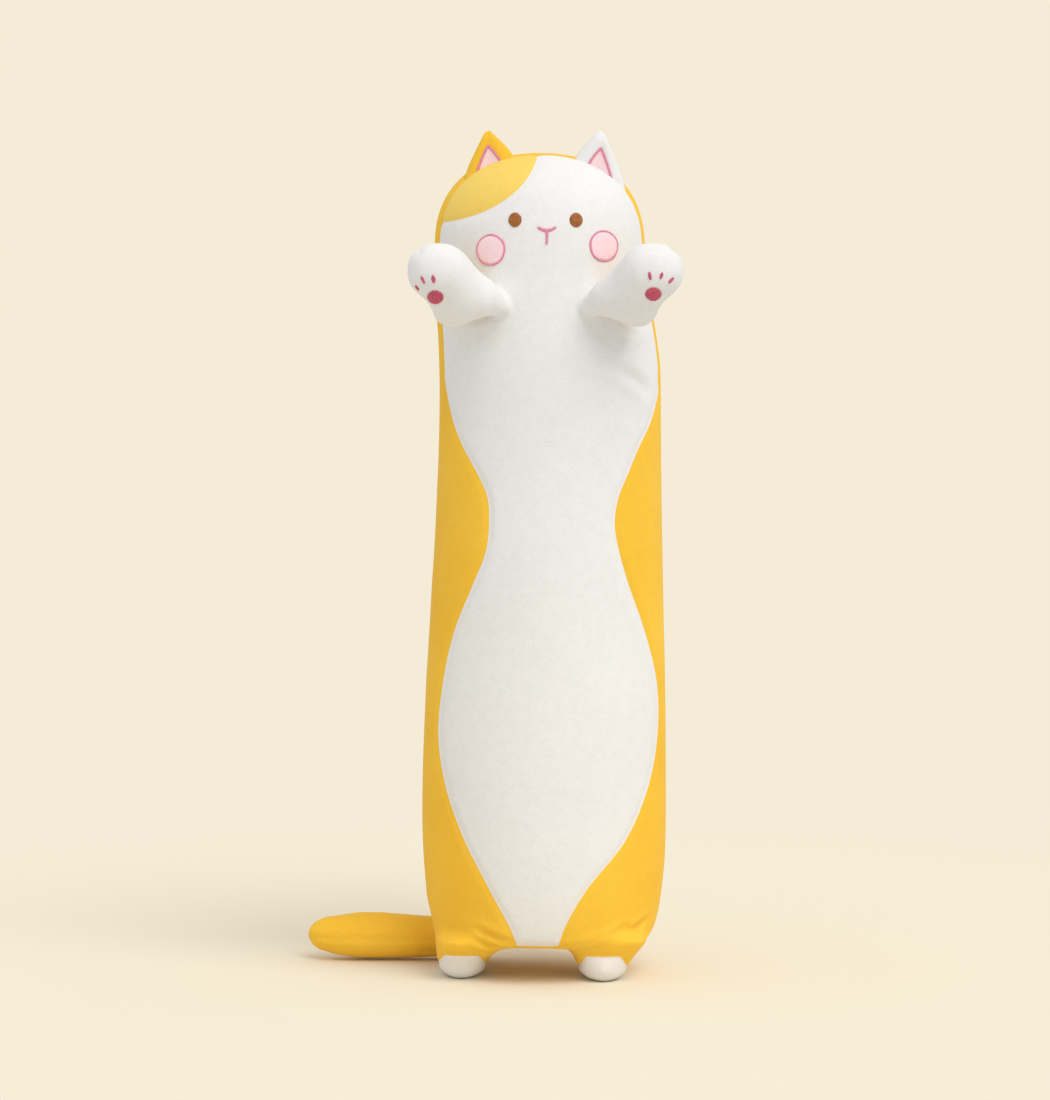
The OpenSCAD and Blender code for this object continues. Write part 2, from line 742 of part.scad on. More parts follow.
module tail_upper() {
    color(YELLOW) at_tail() tube_panel(0, 180, tail_root_r, tail_r, tail_len);
}

module tail_lower() {
    color(YELLOW) at_tail() tube_panel(180, 360, tail_root_r, tail_r, tail_len);
}

module tail_stuffing() {
    color(FIBRE) at_tail() tube_stuffing(tail_root_r, tail_r, tail_len);
}

// ---- Legs and feet ----

leg_turns = 20;
// A leg ends just under the seat, and is longer there than at the foot
leg_top = crotch_h - 0.3;
leg_len = foot_len + 6;
// Squareness of a foot's outline, where 1 is an ellipse
foot_square = 0.85;

// Closed ring of a leg at height z and depth s, with half width w and half length d about x and y
function leg_ring(x, y, z, w, d, s) = [
    for (j = [0:leg_turns - 1])
        let (a = 360 * j / leg_turns,
             u = sin(a), v = cos(a),
             p = [x + w * sign(u) * pow(abs(u), foot_square),
                  y - d * sign(v) * pow(abs(v), foot_square), z])
            clear_of(p, TAIL_ROOT, tail_dimple_r + dimple_spread * s)
];

// Ring of a leg between its hem on the body and the floor, at depth s
function leg_at(side, z, s) =
    let (t = ease(min(max((z - cap_h) / (leg_top - cap_h), 0), 1)),
         x = mix(foot_shift + side * foot_x, hip_shift + side * leg_x, t),
         y = -foot_ahead - side * mix(foot_lead / 2, 0, t),
         under = max(sole_round - z, 0),
         tuck = sole_round - sqrt(max(sole_round * sole_round - under * under, 0)))
        leg_ring(x, y, z, mix(foot_w, leg_w, t) / 2 - tuck - s,
                 mix(foot_len, leg_len, t) / 2 - tuck - s, s);

// Heights of the rings of the rounded foot
function foot_heights(low, high) = concat(
    [for (t = [0:30:90]) low + sole_round * (1 - cos(t))],
    [high]
);

module leg_sleeve(side) {
    low = cap_h + seam_gap;
    rings = [low, mix(low, leg_top, 0.5), leg_top];
    color(YELLOW)
        loft(concat(
            [for (z = rings) leg_at(side, z, 0)],
            [for (i = [2:-1:0]) leg_at(side, rings[i], fabric_t)]
        ), loop = true);
}

module foot_cap(side) {
    outer = foot_heights(0, cap_h);
    inner = foot_heights(fabric_t, cap_h);
    color(WHITE)
        loft(concat(
            [for (z = outer) leg_at(side, z, 0)],
            [for (i = [len(inner) - 1:-1:0]) leg_at_inner(side, inner[i])]
        ));
}

// The foot's inner skin follows the outer one at the fabric's thickness
function leg_at_inner(side, z) =
    let (ring_z = z < fabric_t + sole_round ? z - fabric_t : z,
         ring = leg_at(side, ring_z, fabric_t))
        [for (p = ring) [p[0], p[1], z]];

module leg_stuffing(side) {
    depth = fabric_t + fill_gap;
    color(FIBRE)
        loft(concat(
            [for (z = foot_heights(0, cap_h)) [for (p = leg_at(side, z, depth))
                [p[0], p[1], z < cap_h ? z + depth : z]]],
            [for (z = [mix(cap_h, leg_top, 0.5), leg_top - fill_gap]) leg_at(side, z, depth)]
        ));
}

// ---- Place of the whole toy ----

paw_reach = sin(arm_forward) * arm_len + paw_r;
low_x = TAIL_ROOT[0] - tail_len * cos(tail_slope) - tail_r;
high_x = SHOULDER_RIGHT[0] + cos(arm_forward) * sin(arm_out) * arm_len + paw_r;
// Puts the origin on the floor, under the middle of the toy's length and depth
MIDDLE = [(low_x + high_x) / 2, (SHOULDER_RIGHT[1] - paw_reach + hip_d / 2) / 2, 0];

module placed() {
    translate(-MIDDLE) children();
}

// ---- Nodes ----

placed() front_panel();
placed() back_panel();
placed() head_patch();
placed() body_stuffing();
placed() closing_stitches();
placed() eye(-1);  // eye_left
placed() eye(1);  // eye_right
placed() nose_mouth();
placed() cheek(-1);  // cheek_left
placed() cheek(1);  // cheek_right
placed() cheek_outline(-1);  // cheek_left_outline
placed() cheek_outline(1);  // cheek_right_outline
placed() color(YELLOW) ear_front(-1);  // ear_left_front
placed() color(YELLOW) ear_back_piece(-1);  // ear_left_back
placed() ear_inner(-1);  // ear_left_inner
placed() ear_outline(-1);  // ear_left_outline
placed() ear_stuffing(-1);  // ear_left_stuffing
placed() color(WHITE) ear_front(1);  // ear_right_front
placed() color(YELLOW) ear_back_piece(1);  // ear_right_back
placed() ear_inner(1);  // ear_right_inner
placed() ear_outline(1);  // ear_right_outline
placed() ear_stuffing(1);  // ear_right_stuffing
placed() arm_palm_side(-1);  // arm_left_palm_side
placed() arm_back_side(-1);  // arm_left_back_side
placed() arm_stuffing(-1);  // arm_left_stuffing
placed() arm_pad(-1);  // arm_left_pad
placed() arm_toes(-1);  // arm_left_toes
placed() arm_palm_side(1);  // arm_right_palm_side
placed() arm_back_side(1);  // arm_right_back_side
placed() arm_stuffing(1);  // arm_right_stuffing
placed() arm_pad(1);  // arm_right_pad
placed() arm_toes(1);  // arm_right_toes
placed() leg_sleeve(-1);  // leg_left_sleeve
placed() leg_stuffing(-1);  // leg_left_stuffing
placed() foot_cap(-1);  // foot_left_cap
placed() leg_sleeve(1);  // leg_right_sleeve
placed() leg_stuffing(1);  // leg_right_stuffing
placed() foot_cap(1);  // foot_right_cap
placed() tail_upper();
placed() tail_lower();
placed() tail_stuffing();
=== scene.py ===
"""A tall plush cat that stands on two short feet, dressed in puffed plush, seams and embroidery."""

import json
import math
import random

import bmesh
import bpy
import numpy as np
from mathutils import Matrix, Vector
from mathutils.bvhtree import BVHTree


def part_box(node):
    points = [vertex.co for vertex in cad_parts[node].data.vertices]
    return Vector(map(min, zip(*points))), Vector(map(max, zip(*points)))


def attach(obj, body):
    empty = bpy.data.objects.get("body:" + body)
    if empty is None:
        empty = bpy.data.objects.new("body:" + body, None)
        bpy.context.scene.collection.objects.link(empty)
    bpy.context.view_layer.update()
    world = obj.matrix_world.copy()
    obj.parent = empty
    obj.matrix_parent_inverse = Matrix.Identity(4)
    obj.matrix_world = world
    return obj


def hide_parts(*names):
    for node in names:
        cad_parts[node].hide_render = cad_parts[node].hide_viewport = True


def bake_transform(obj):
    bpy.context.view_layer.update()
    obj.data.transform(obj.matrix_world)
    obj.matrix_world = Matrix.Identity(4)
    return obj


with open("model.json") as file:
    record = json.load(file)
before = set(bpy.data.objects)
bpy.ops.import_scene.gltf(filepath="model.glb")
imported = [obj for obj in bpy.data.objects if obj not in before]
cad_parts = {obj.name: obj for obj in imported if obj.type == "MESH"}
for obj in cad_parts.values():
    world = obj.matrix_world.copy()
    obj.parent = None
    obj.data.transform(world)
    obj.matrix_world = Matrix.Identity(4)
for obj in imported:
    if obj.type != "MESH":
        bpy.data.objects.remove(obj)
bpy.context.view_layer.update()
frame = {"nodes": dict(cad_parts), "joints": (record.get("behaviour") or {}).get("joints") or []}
RANDOM = random.Random(7)

SIDES = {"left": -1, "right": 1}
FORWARD = Vector((0, -1, 0))

# ---- Places that the frame gives ----

JOINTS = {j["name"]: Vector(j["pos_m"]) for j in frame["joints"]}
JOINT_AXES = {j["name"]: Vector(j["axis"]) for j in frame["joints"]}


def middle(node):
    """Middle of a CAD node's box."""
    low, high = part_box(node)
    return (Vector(low) + Vector(high)) / 2


# The axis that the body is built about, which the stuffing's box gives
HIP_SHIFT = -0.002
AXIS = Vector((middle("body_stuffing").x - HIP_SHIFT, middle("body_stuffing").y, 0))
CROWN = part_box("front_panel")[1][2]

# Sections of the body: height, half width, half depth, sideways place
SEAT_SECTION = np.array([0.029, 0.085, 0.066, -0.002])
SECTIONS = np.array([
    [0.132, 0.102, 0.086, -0.002],
    [0.490, 0.092, 0.079, 0.003],
    [0.602, 0.0875, 0.076, -0.006],
])
# Stations of the white panel's edges, seen from the front: height, left edge, right edge
PANEL = np.array([
    [0.020, -0.022, 0.008],
    [0.036, -0.0255, 0.010],
    [0.080, -0.047, 0.032],
    [0.116, -0.066, 0.062],
    [0.158, -0.082, 0.082],
    [0.203, -0.089, 0.091],
    [0.242, -0.0855, 0.0905],
    [0.291, -0.0745, 0.0785],
    [0.328, -0.0595, 0.0655],
    [0.352, -0.0500, 0.0585],
    [0.377, -0.0470, 0.0545],
    [0.398, -0.0485, 0.0580],
    [0.416, -0.0565, 0.0655],
    [0.437, -0.0680, 0.0745],
    [0.455, -0.0755, 0.0835],
    [0.475, -0.0806, 0.0900],
    [0.500, -0.0850, 0.0950],
    [0.530, -0.0920, 0.1020],
    [0.580, -0.1200, 0.1200],
])
# The panel ends this high, above the yellow edge of the arch between the legs
PANEL_END = 0.0325
# How far the side seam lies ahead of the body's middle: on the left, on the right and at the crown
LEFT_SEAM_AHEAD = 0.021
RIGHT_SEAM_AHEAD = 0.014
CROWN_SEAM_AHEAD = 0.024
# The side seam passes from the left's place to the right's over this width, and leans from this height
SEAM_CROSSING = 0.16
SEAM_LEAN_FROM = 0.60
# Below this height the panel's end bounds it, and above it the side seam does
PANEL_FOOT = 0.05
# The patch's edge is part of an ellipse seen from the front
PATCH_MIDDLE = (-0.0865, 0.682)
PATCH_RADII = (0.079, 0.061)
# The white foot caps reach this high at the toes and at the sides
CAP_TOE_H = 0.0222
CAP_SIDE_H = 0.009
LEG_TOP = 0.030
# Where the legs flare into the body: height, inner edge, outer edge, front and back
LEG_FLARES = {
    "left": [
        (0.006, -0.0500, -0.0895, -0.048, 0.027),
        (0.012, -0.0485, -0.0910, -0.052, 0.030),
        (0.018, -0.0470, -0.0912, -0.053, 0.031),
        (0.023, -0.0400, -0.0915, -0.056, 0.036),
        (0.028, -0.0330, -0.0920, -0.060, 0.044),
        (0.032, -0.0210, -0.0925, -0.064, 0.052),
        (0.036, -0.0100, -0.0925, -0.066, 0.058),
    ],
    "right": [
        (0.006, 0.0255, 0.0645, -0.048, 0.027),
        (0.012, 0.0240, 0.0675, -0.052, 0.030),
        (0.018, 0.0230, 0.0720, -0.053, 0.031),
        (0.023, 0.0195, 0.0760, -0.056, 0.036),
        (0.028, 0.0120, 0.0800, -0.060, 0.044),
        (0.032, 0.0025, 0.0835, -0.064, 0.052),
        (0.036, -0.0050, 0.0850, -0.066, 0.058),
    ],
}

# ---- Arms and tail, as chains of balls that grow into smooth limbs ----

ARM_OUT = math.radians(46)
ARM_FORWARD = math.radians(35)
# Half angle of the white palm side round the arm, at distances from the shoulder's centre to the tip
PALM_PLACES = (0.000, 0.028, 0.050, 0.066)
PALM_ANGLES = tuple(math.radians(a) for a in (132, 108, 138, 180))
# Balls along an arm from its pointed root on the chest to the paw, and the bulge under it:
# place away from the middle, ahead of the shoulder's centre and above it, and radius
ARM_SHAPE = [(-0.0200, -0.0010, 0.0005, 0.0065), (-0.0030, 0.0090, 0.0085, 0.0172),
             (0.0159, 0.0138, 0.0117, 0.0247), (0.0269, 0.0285, 0.0276, 0.0238),
             (0.0332, 0.0285, 0.0281, 0.0238)]
ARM_BULGE = (0.0190, 0.0023, 0.0022, 0.0195)
# Along the tail: reach, height of the centre, radius
TAIL_SHAPE = [(-0.004, 0.0195, 0.0170), (0.030, 0.0193, 0.0183), (0.065, 0.0203, 0.0203),
              (0.096, 0.0206, 0.0204), (0.1235, 0.0214, 0.0156)]
CHAIN_STEPS = 10
# Nearer to a limb's axis than this, its seam is measured as if at this radius
SEAM_CORE = 0.004


def smooth(t):
    """Rises from 0 to 1 with level ends."""
    t = np.clip(t, 0, 1)
    return t * t * (3 - 2 * t)


def arm_frame(side):
    """Directions that an arm's palm side faces and that the arm runs in; side is -1 for the left."""
    turn = Matrix.Rotation(ARM_OUT, 3, "Y") @ Matrix.Rotation(ARM_FORWARD, 3, "X")
    axes = [turn @ Vector((0, -1, 0)), turn @ Vector((0, 0, 1))]
    return [Vector((side * a.x, a.y, a.z)) for a in axes]


class Limb:
    """A chain of balls: centres, radii, the root, the direction it runs in and the side it faces."""

    def __init__(self, root, along, facing, stations):
        self.root, self.along, self.facing = (np.array(v, float) for v in (root, along, facing))
        self.balls = []
        for (a, ra), (b, rb) in zip(stations, stations[1:]):
            for i in range(CHAIN_STEPS):
                t = i / CHAIN_STEPS
                self.balls.append((np.array(a) * (1 - t) + np.array(b) * t, ra * (1 - t) + rb * t))
        self.add_ball(*stations[-1])

    def add_ball(self, centre, radius):
        self.balls.append((np.array(centre), radius))

    def distance(self, points):
        """Distance outside the limb's skin."""
        return np.min([np.linalg.norm(points - c, axis=1) - r for c, r in self.balls], axis=0)

    def seam(self, points, places, angles):
        """Distance to the seam, positive within the given angles of the side that the limb faces."""
        v = points - self.root
        along = v @ self.along
        off = v - along[:, None] * self.along
        far = np.maximum(np.linalg.norm(off, axis=1), 1e-6)
        angle = np.arccos(np.clip(off @ self.facing / far, -1, 1))
        return (np.interp(along, places, angles) - angle) * np.maximum(far, SEAM_CORE)


ARMS = {}
for name, side in SIDES.items():
    palm, along = arm_frame(side)
    root = JOINTS[f"arm_{name}_swing"]
    *stations, bulge = [(root + Vector((side * out, -ahead, up)), radius)
                        for out, ahead, up, radius in (*ARM_SHAPE, ARM_BULGE)]
    ARMS[name] = Limb(root, along, palm, stations)
    ARMS[name].add_ball(*bulge)
tail_at = JOINTS["tail_swing"]
TAIL = Limb(tail_at, (-1, 0, 0), (0, 0, 1),
            [(Vector((tail_at.x - reach, tail_at.y, height)), radius)
             for reach, height, radius in TAIL_SHAPE])

# ---- Seams, as distances in metres that change sign along each seam ----


def section(z):
    """Half width, half depth and sideways place of the body at heights z."""
    i = np.clip(np.searchsorted(SECTIONS[:, 0], z) - 1, 0, len(SECTIONS) - 2)
    t = smooth((z - SECTIONS[i, 0]) / (SECTIONS[i + 1, 0] - SECTIONS[i, 0]))
    trunk = SECTIONS[i, 1:] + (SECTIONS[i + 1, 1:] - SECTIONS[i, 1:]) * t[:, None]
    below = np.clip((SECTIONS[0, 0] - z) / (SECTIONS[0, 0] - SEAT_SECTION[0]), 0, 1)
    hip = SEAT_SECTION[1:] + (SECTIONS[0, 1:] - SEAT_SECTION[1:]) * np.sqrt(1 - below**2)[:, None]
    return np.where((z < SECTIONS[0, 0])[:, None], hip, trunk).T


def body_distance(p):
    """Distance outside the body's plain oval section."""
    w, d, c = section(p[:, 2])
    level = np.hypot((p[:, 0] - AXIS.x - c) / w, (p[:, 1] - AXIS.y) / d)
    return (level - 1) * np.minimum(w, d)


def eased(z, column):
    """Value between the panel's stations, on a smooth curve through them."""
    h, v = PANEL[:, 0], PANEL[:, column]
    slope = np.gradient(v, h)
    i = np.clip(np.searchsorted(h, z) - 1, 0, len(h) - 2)
    step = h[i + 1] - h[i]
    t = np.clip((z - h[i]) / step, 0, 1)
    return ((2 * t**3 - 3 * t**2 + 1) * v[i] + (t**3 - 2 * t**2 + t) * step * slope[i]
            + (3 * t**2 - 2 * t**3) * v[i + 1] + (t**3 - t**2) * step * slope[i + 1])


def front_seam(p):
    """Positive on the white front panel and on the head patch."""
    x, ahead, z = p[:, 0] - AXIS.x, AXIS.y - p[:, 1], p[:, 2]
    inside = np.minimum(x - eased(z, 1), eased(z, 2) - x)
    low = LEFT_SEAM_AHEAD + (RIGHT_SEAM_AHEAD - LEFT_SEAM_AHEAD) * smooth(x / SEAM_CROSSING + 0.5)
    lean = smooth((z - SEAM_LEAN_FROM) / (CROWN - SEAM_LEAN_FROM))
    side = ahead - low - (CROWN_SEAM_AHEAD - low) * lean
    low_edge = np.minimum(ahead, z - PANEL_END)
    return np.minimum(inside, np.where(z < PANEL_FOOT, low_edge, side))


def patch_seam(p):
    """Positive on the yellow patch on the head."""
    x, z = p[:, 0] - AXIS.x, p[:, 2]
    level = np.hypot((x - PATCH_MIDDLE[0]) / PATCH_RADII[0], (z - PATCH_MIDDLE[1]) / PATCH_RADII[1])
    return (1 - level) * sum(PATCH_RADII) / 2


def arm_root(name):
    """Seam function that is positive on an arm."""
    return lambda p: body_distance(p) - ARMS[name].distance(p)


def palm_seam(name):
    """Seam function that is positive on the white side of an arm."""
    return lambda p: ARMS[name].seam(p, PALM_PLACES, PALM_ANGLES)


def tail_seam(p):
    """Positive on the upper half of the tail."""
    return TAIL.seam(p, (0, 1), (math.pi / 2, math.pi / 2))


def tail_root(p):
    """Positive on the tail."""
    return body_distance(p) - TAIL.distance(p)


def leg_seam(p):
    """Positive below the hem where the legs begin."""
    return LEG_TOP - p[:, 2]


def cap_seam(p):
    """Positive on the white foot caps, which climb towards the toes."""
    value = np.full(len(p), -1.0)
    for name in SIDES:
        low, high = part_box(f"foot_{name}_cap")
        aside = np.abs(p[:, 0] - (low[0] + high[0]) / 2) / ((high[0] - low[0]) / 2)
        ahead = ((low[1] + high[1]) / 2 - p[:, 1]) / ((high[1] - low[1]) / 2)
        front = smooth((1.05 - aside) / 0.45) * smooth((ahead + 0.1) / 0.5)
        line = CAP_SIDE_H + (CAP_TOE_H - CAP_SIDE_H) * front
        value = np.where(aside < 1.6, line - p[:, 2], value)
    return value


# ---- Mesh helpers ----


def get_points(mesh):
    flat = np.empty(len(mesh.vertices) * 3)
    mesh.vertices.foreach_get("co", flat)
    return flat.reshape(-1, 3)


def set_points(mesh, points):
    mesh.vertices.foreach_set("co", points.ravel())
    mesh.update()


def get_normals(mesh):
    flat = np.empty(len(mesh.vertices) * 3, dtype=np.float32)
    mesh.vertex_normals.foreach_get("vector", flat)
    return flat.reshape(-1, 3).astype(float)


def get_edges(mesh):
    flat = np.empty(len(mesh.edges) * 2, dtype=np.int64)
    mesh.edges.foreach_get("vertices", flat)
    return flat.reshape(-1, 2)


def new_object(name, verts, faces):
    mesh = bpy.data.meshes.new(name)
    mesh.from_pydata([tuple(v) for v in verts], [], faces)
    mesh.validate()
    obj = bpy.data.objects.new(name, mesh)
    bpy.context.scene.collection.objects.link(obj)
    return obj


def smooth_shade(obj):
    for face in obj.data.polygons:
        face.use_smooth = True


def modified(obj, kind, **settings):
    """Applies one modifier to an object's mesh."""
    mod = obj.modifiers.new(kind.lower(), kind)
    for key, value in settings.items():
        setattr(mod, key, value)
    bpy.context.view_layer.update()
    mesh = bpy.data.meshes.new_from_object(obj.evaluated_get(bpy.context.evaluated_depsgraph_get()))
    obj.modifiers.remove(mod)
    old = obj.data
    obj.data = mesh
    bpy.data.meshes.remove(old)


def relax(points, edges, rounds):
    """Moves each vertex halfway to the mean of its neighbours, several times."""
    n = len(points)
    count = np.bincount(edges.ravel(), minlength=n)[:, None]
    for _ in range(rounds):
        total = np.zeros_like(points)
        for k in range(3):
            total[:, k] = (np.bincount(edges[:, 0], points[edges[:, 1], k], n)
                           + np.bincount(edges[:, 1], points[edges[:, 0], k], n))
        points = points + 0.5 * (total / np.maximum(count, 1) - points)
    return points


def largest_island(obj):
    """Keeps only the outer skin of a remeshed solid."""
    bm = bmesh.new()
    bm.from_mesh(obj.data)
    bm.verts.ensure_lookup_table()
    seen, best = set(), []
    for start in bm.verts:
        if start.index in seen:
            continue
        island, stack = [], [start]
        seen.add(start.index)
        while stack:
            v = stack.pop()
            island.append(v)
            for e in v.link_edges:
                other = e.other_vert(v)
                if other.index not in seen:
                    seen.add(other.index)
                    stack.append(other)
        if len(island) > len(best):
            best = island
    keep = set(v.index for v in best)
    bmesh.ops.delete(bm, geom=[v for v in bm.verts if v.index not in keep], context="VERTS")
    bm.to_mesh(obj.data)
    bm.free()


def ball(centre, radius):
    """Mesh of one ball of a limb's chain."""
    bm = bmesh.new()
    bmesh.ops.create_icosphere(bm, subdivisions=3, radius=radius, matrix=Matrix.Translation(Vector(centre)))
    mesh = bpy.data.meshes.new("ball")
    bm.to_mesh(mesh)
    bm.free()
    return mesh


def merged(name, meshes):
    """One object from several meshes."""
    verts, faces = [], []
    for mesh in meshes:
        first = len(verts)
        verts += [v.co[:] for v in mesh.vertices]
        faces += [[first + i for i in f.vertices] for f in mesh.polygons]
    return new_object(name, verts, faces)


def puff(obj, held, pressure, cap, frames=20):
    """Blows the skin up as cloth with its seams held, and caps how far a point may move."""
    start = get_points(obj.data)
    group = obj.vertex_groups.new(name="held")
    for share in (0.35, 0.7, 1.0):
        chosen = np.nonzero(np.abs(held - share) < 0.175)[0]
        if len(chosen):
            group.add([int(i) for i in chosen], share, "REPLACE")
    mod = obj.modifiers.new("puff", "CLOTH")
    cloth = mod.settings
    cloth.quality = 5
    cloth.mass = 0.2
    cloth.tension_stiffness = cloth.compression_stiffness = 12
    cloth.bending_stiffness = 0.6
    cloth.use_pressure = True
    cloth.uniform_pressure_force = pressure
    cloth.effector_weights.gravity = 0
    cloth.vertex_group_mass = "held"
    mod.point_cache.frame_start, mod.point_cache.frame_end = 1, frames
    for number in range(1, frames + 1):
        bpy.context.scene.frame_set(number)
    shape = obj.evaluated_get(bpy.context.evaluated_depsgraph_get()).to_mesh()
    move = get_points(shape) - start
    obj.modifiers.remove(mod)
    obj.vertex_groups.remove(group)
    bpy.context.scene.frame_set(1)
    far = np.maximum(np.linalg.norm(move, axis=1), 1e-9)
    set_points(obj.data, start + move * np.minimum(1, cap / far)[:, None])


def cut_along(bm, layer, region, seam):
    """Cuts the faces of one region along the line where seam is zero."""
    bm.verts.index_update()
    value = seam(np.array([v.co for v in bm.verts]))
    on_line = set()
    splits = []
    for e in bm.edges:
        a, b = e.verts[0].index, e.verts[1].index
        if value[a] * value[b] >= 0 or not any(f[layer] == region for f in e.link_faces):
            continue
        splits.append((e, e.verts[0], e.verts[1], value[a] / (value[a] - value[b])))
    for e, a, b, t in splits:
        if t < 0.2 or t > 0.8:
            near = a if t < 0.5 else b
            if near in on_line:
                continue
            other = b if near is a else a
            near.co = near.co.lerp(other.co, t if near is a else 1 - t)
            on_line.add(near)
    for e, a, b, t in splits:
        if a in on_line or b in on_line:
            continue
        _, fresh = bmesh.utils.edge_split(e, a, t)
        on_line.add(fresh)
    bmesh.ops.connect_verts(bm, verts=list(on_line))
    bm.verts.index_update()


def label(bm, layer, region, fresh, inside):
    """Gives the faces of a region where inside is positive a new region number."""
    faces = [f for f in bm.faces if f[layer] == region]
    middles = np.array([f.calc_center_median() for f in faces])
    for f, value in zip(faces, inside(middles)):
        if value > 0:
            f[layer] = fresh


# ---- Materials ----


def linear(colour):
    """Screen colour from 0 to 255 as linear light."""
    return tuple(((c / 255 + 0.055) / 1.055) ** 2.4 if c > 10 else c / 255 / 12.92 for c in colour)


def add_node(tree, kind, **inputs):
    node = tree.nodes.new(kind)
    for key, value in inputs.items():
        node.inputs[key.replace("_", " ")].default_value = value
    return node


def noise(tree, where, scale, detail=3.0, roughness=0.5):
    node = add_node(tree, "ShaderNodeTexNoise", Scale=scale, Detail=detail, Roughness=roughness)
    tree.links.new(where, node.inputs["Vector"])
    return node.outputs["Fac"]


def ramp(tree, value, low, high, at=(0.3, 0.7)):
    node = tree.nodes.new("ShaderNodeValToRGB")
    node.color_ramp.elements[0].position, node.color_ramp.elements[1].position = at
    node.color_ramp.elements[0].color = (*low, 1)
    node.color_ramp.elements[1].color = (*high, 1)
    tree.links.new(value, node.inputs["Fac"])
    return node.outputs["Color"]


def multiplied(tree, a, b):
    """Product of two colours."""
    node = tree.nodes.new("ShaderNodeMix")
    node.data_type, node.blend_type = "RGBA", "MULTIPLY"
    node.inputs["Factor"].default_value = 1.0
    tree.links.new(a, node.inputs["A"])
    tree.links.new(b, node.inputs["B"])
    return node.outputs["Result"]


def grey(value):
    """Linear grey."""
    return (value, value, value)


def plush(name, deep, bright, sheen_tint):
    """Short smooth pile: nap patches, fine fibre mottling, soft sheen and a fuzzy bump."""
    mat = bpy.data.materials.new(name)
    mat.use_nodes = True
    tree = mat.node_tree
    shader = tree.nodes["Principled BSDF"]
    where = tree.nodes.new("ShaderNodeTexCoord").outputs["Object"]
    nap = ramp(tree, noise(tree, where, 9, 2), linear(deep), linear(bright), (0.25, 0.75))
    patches = ramp(tree, noise(tree, where, 130, 3), grey(0.965), grey(1.0))
    fibres = ramp(tree, noise(tree, where, 1150, 2, 0.6), grey(0.90), grey(1.0))
    colour = multiplied(tree, multiplied(tree, nap, patches), fibres)
    tree.links.new(colour, shader.inputs["Base Color"])
    rough = add_node(tree, "ShaderNodeMapRange", From_Min=0.3, From_Max=0.7, To_Min=0.78, To_Max=0.95)
    tree.links.new(noise(tree, where, 60, 2), rough.inputs["Value"])
    tree.links.new(rough.outputs["Result"], shader.inputs["Roughness"])
    shader.inputs["Sheen Weight"].default_value = 0.22
    shader.inputs["Sheen Roughness"].default_value = 0.45
    shader.inputs["Sheen Tint"].default_value = (*linear(sheen_tint), 1)
    shader.inputs["Specular IOR Level"].default_value = 0.15
    nap_bump = add_node(tree, "ShaderNodeBump", Strength=0.22, Distance=0.0012)
    tree.links.new(noise(tree, where, 130, 3), nap_bump.inputs["Height"])
    fibre_bump = add_node(tree, "ShaderNodeBump", Strength=0.35, Distance=0.0006)
    tree.links.new(noise(tree, where, 950, 3, 0.6), fibre_bump.inputs["Height"])
    tree.links.new(nap_bump.outputs["Normal"], fibre_bump.inputs["Normal"])
    tree.links.new(fibre_bump.outputs["Normal"], shader.inputs["Normal"])
    return mat


def thread(name, deep, bright):
    """Shiny embroidery floss with fine twisted strands."""
    mat = bpy.data.materials.new(name)
    mat.use_nodes = True
    tree = mat.node_tree
    shader = tree.nodes["Principled BSDF"]
    where = tree.nodes.new("ShaderNodeTexCoord").outputs["Object"]
    colour = ramp(tree, noise(tree, where, 700, 3), linear(deep), linear(bright))
    tree.links.new(colour, shader.inputs["Base Color"])
    shader.inputs["Roughness"].default_value = 0.5
    shader.inputs["Sheen Weight"].default_value = 0.25
    shader.inputs["Specular IOR Level"].default_value = 0.35
    bump = add_node(tree, "ShaderNodeBump", Strength=0.3, Distance=0.0003)
    tree.links.new(noise(tree, where, 2600, 2), bump.inputs["Height"])
    tree.links.new(bump.outputs["Normal"], shader.inputs["Normal"])
    return mat


WHITE = plush("white_plush", (236, 234, 231), (242, 240, 237), (255, 254, 252))
YELLOW = plush("yellow_plush", (247, 190, 52), (254, 204, 68), (255, 230, 150))
PATCH = plush("patch_plush", (248, 206, 88), (252, 218, 114), (255, 236, 170))
PALE_PINK = plush("pale_pink_plush", (248, 212, 214), (252, 224, 224), (255, 238, 238))
BROWN = thread("brown_thread", (138, 72, 18), (184, 110, 34))
PINK = thread("pink_thread", (222, 128, 156), (238, 152, 176))
CHEEK_PINK = thread("cheek_thread", (250, 216, 222), (254, 228, 232))
CRIMSON = thread("crimson_thread", (196, 70, 96), (216, 92, 118))
YELLOW_THREAD = thread("yellow_thread", (226, 168, 46), (240, 186, 62))

# ---- The whole skin: joined, remeshed, puffed ----

SHELLS = [
    "front_panel", "back_panel", "head_patch", "body_stuffing",
    "leg_left_sleeve", "leg_left_stuffing", "foot_left_cap",
    "leg_right_sleeve", "leg_right_stuffing", "foot_right_cap",
]
RING_TURNS = 64
# Squareness of the legs' outline at the foot and where they join the body
FOOT_SQUARE = 0.85
HEM_SQUARE = 0.45
# The leg turns from the foot's outline to the body's between these heights
FOOT_TOP = 0.012
HEM_RISE = 0.012
CORE_RINGS = 90


def lofted(name, rings):
    """A closed solid through rings of points."""
    n = len(rings[0])
    verts = [p for ring in rings for p in ring]
    faces = [[i * n + j, i * n + (j + 1) % n, (i + 1) * n + (j + 1) % n, (i + 1) * n + j]
             for i in range(len(rings) - 1) for j in range(n)]
    faces += [list(reversed(range(n))), [(len(rings) - 1) * n + j for j in range(n)]]
    mesh = bpy.data.meshes.new(name)
    mesh.from_pydata(verts, [], faces)
    return mesh


def bent(value, power):
    """Power of a size, with its sign kept."""
    return math.copysign(abs(value) ** power, value)


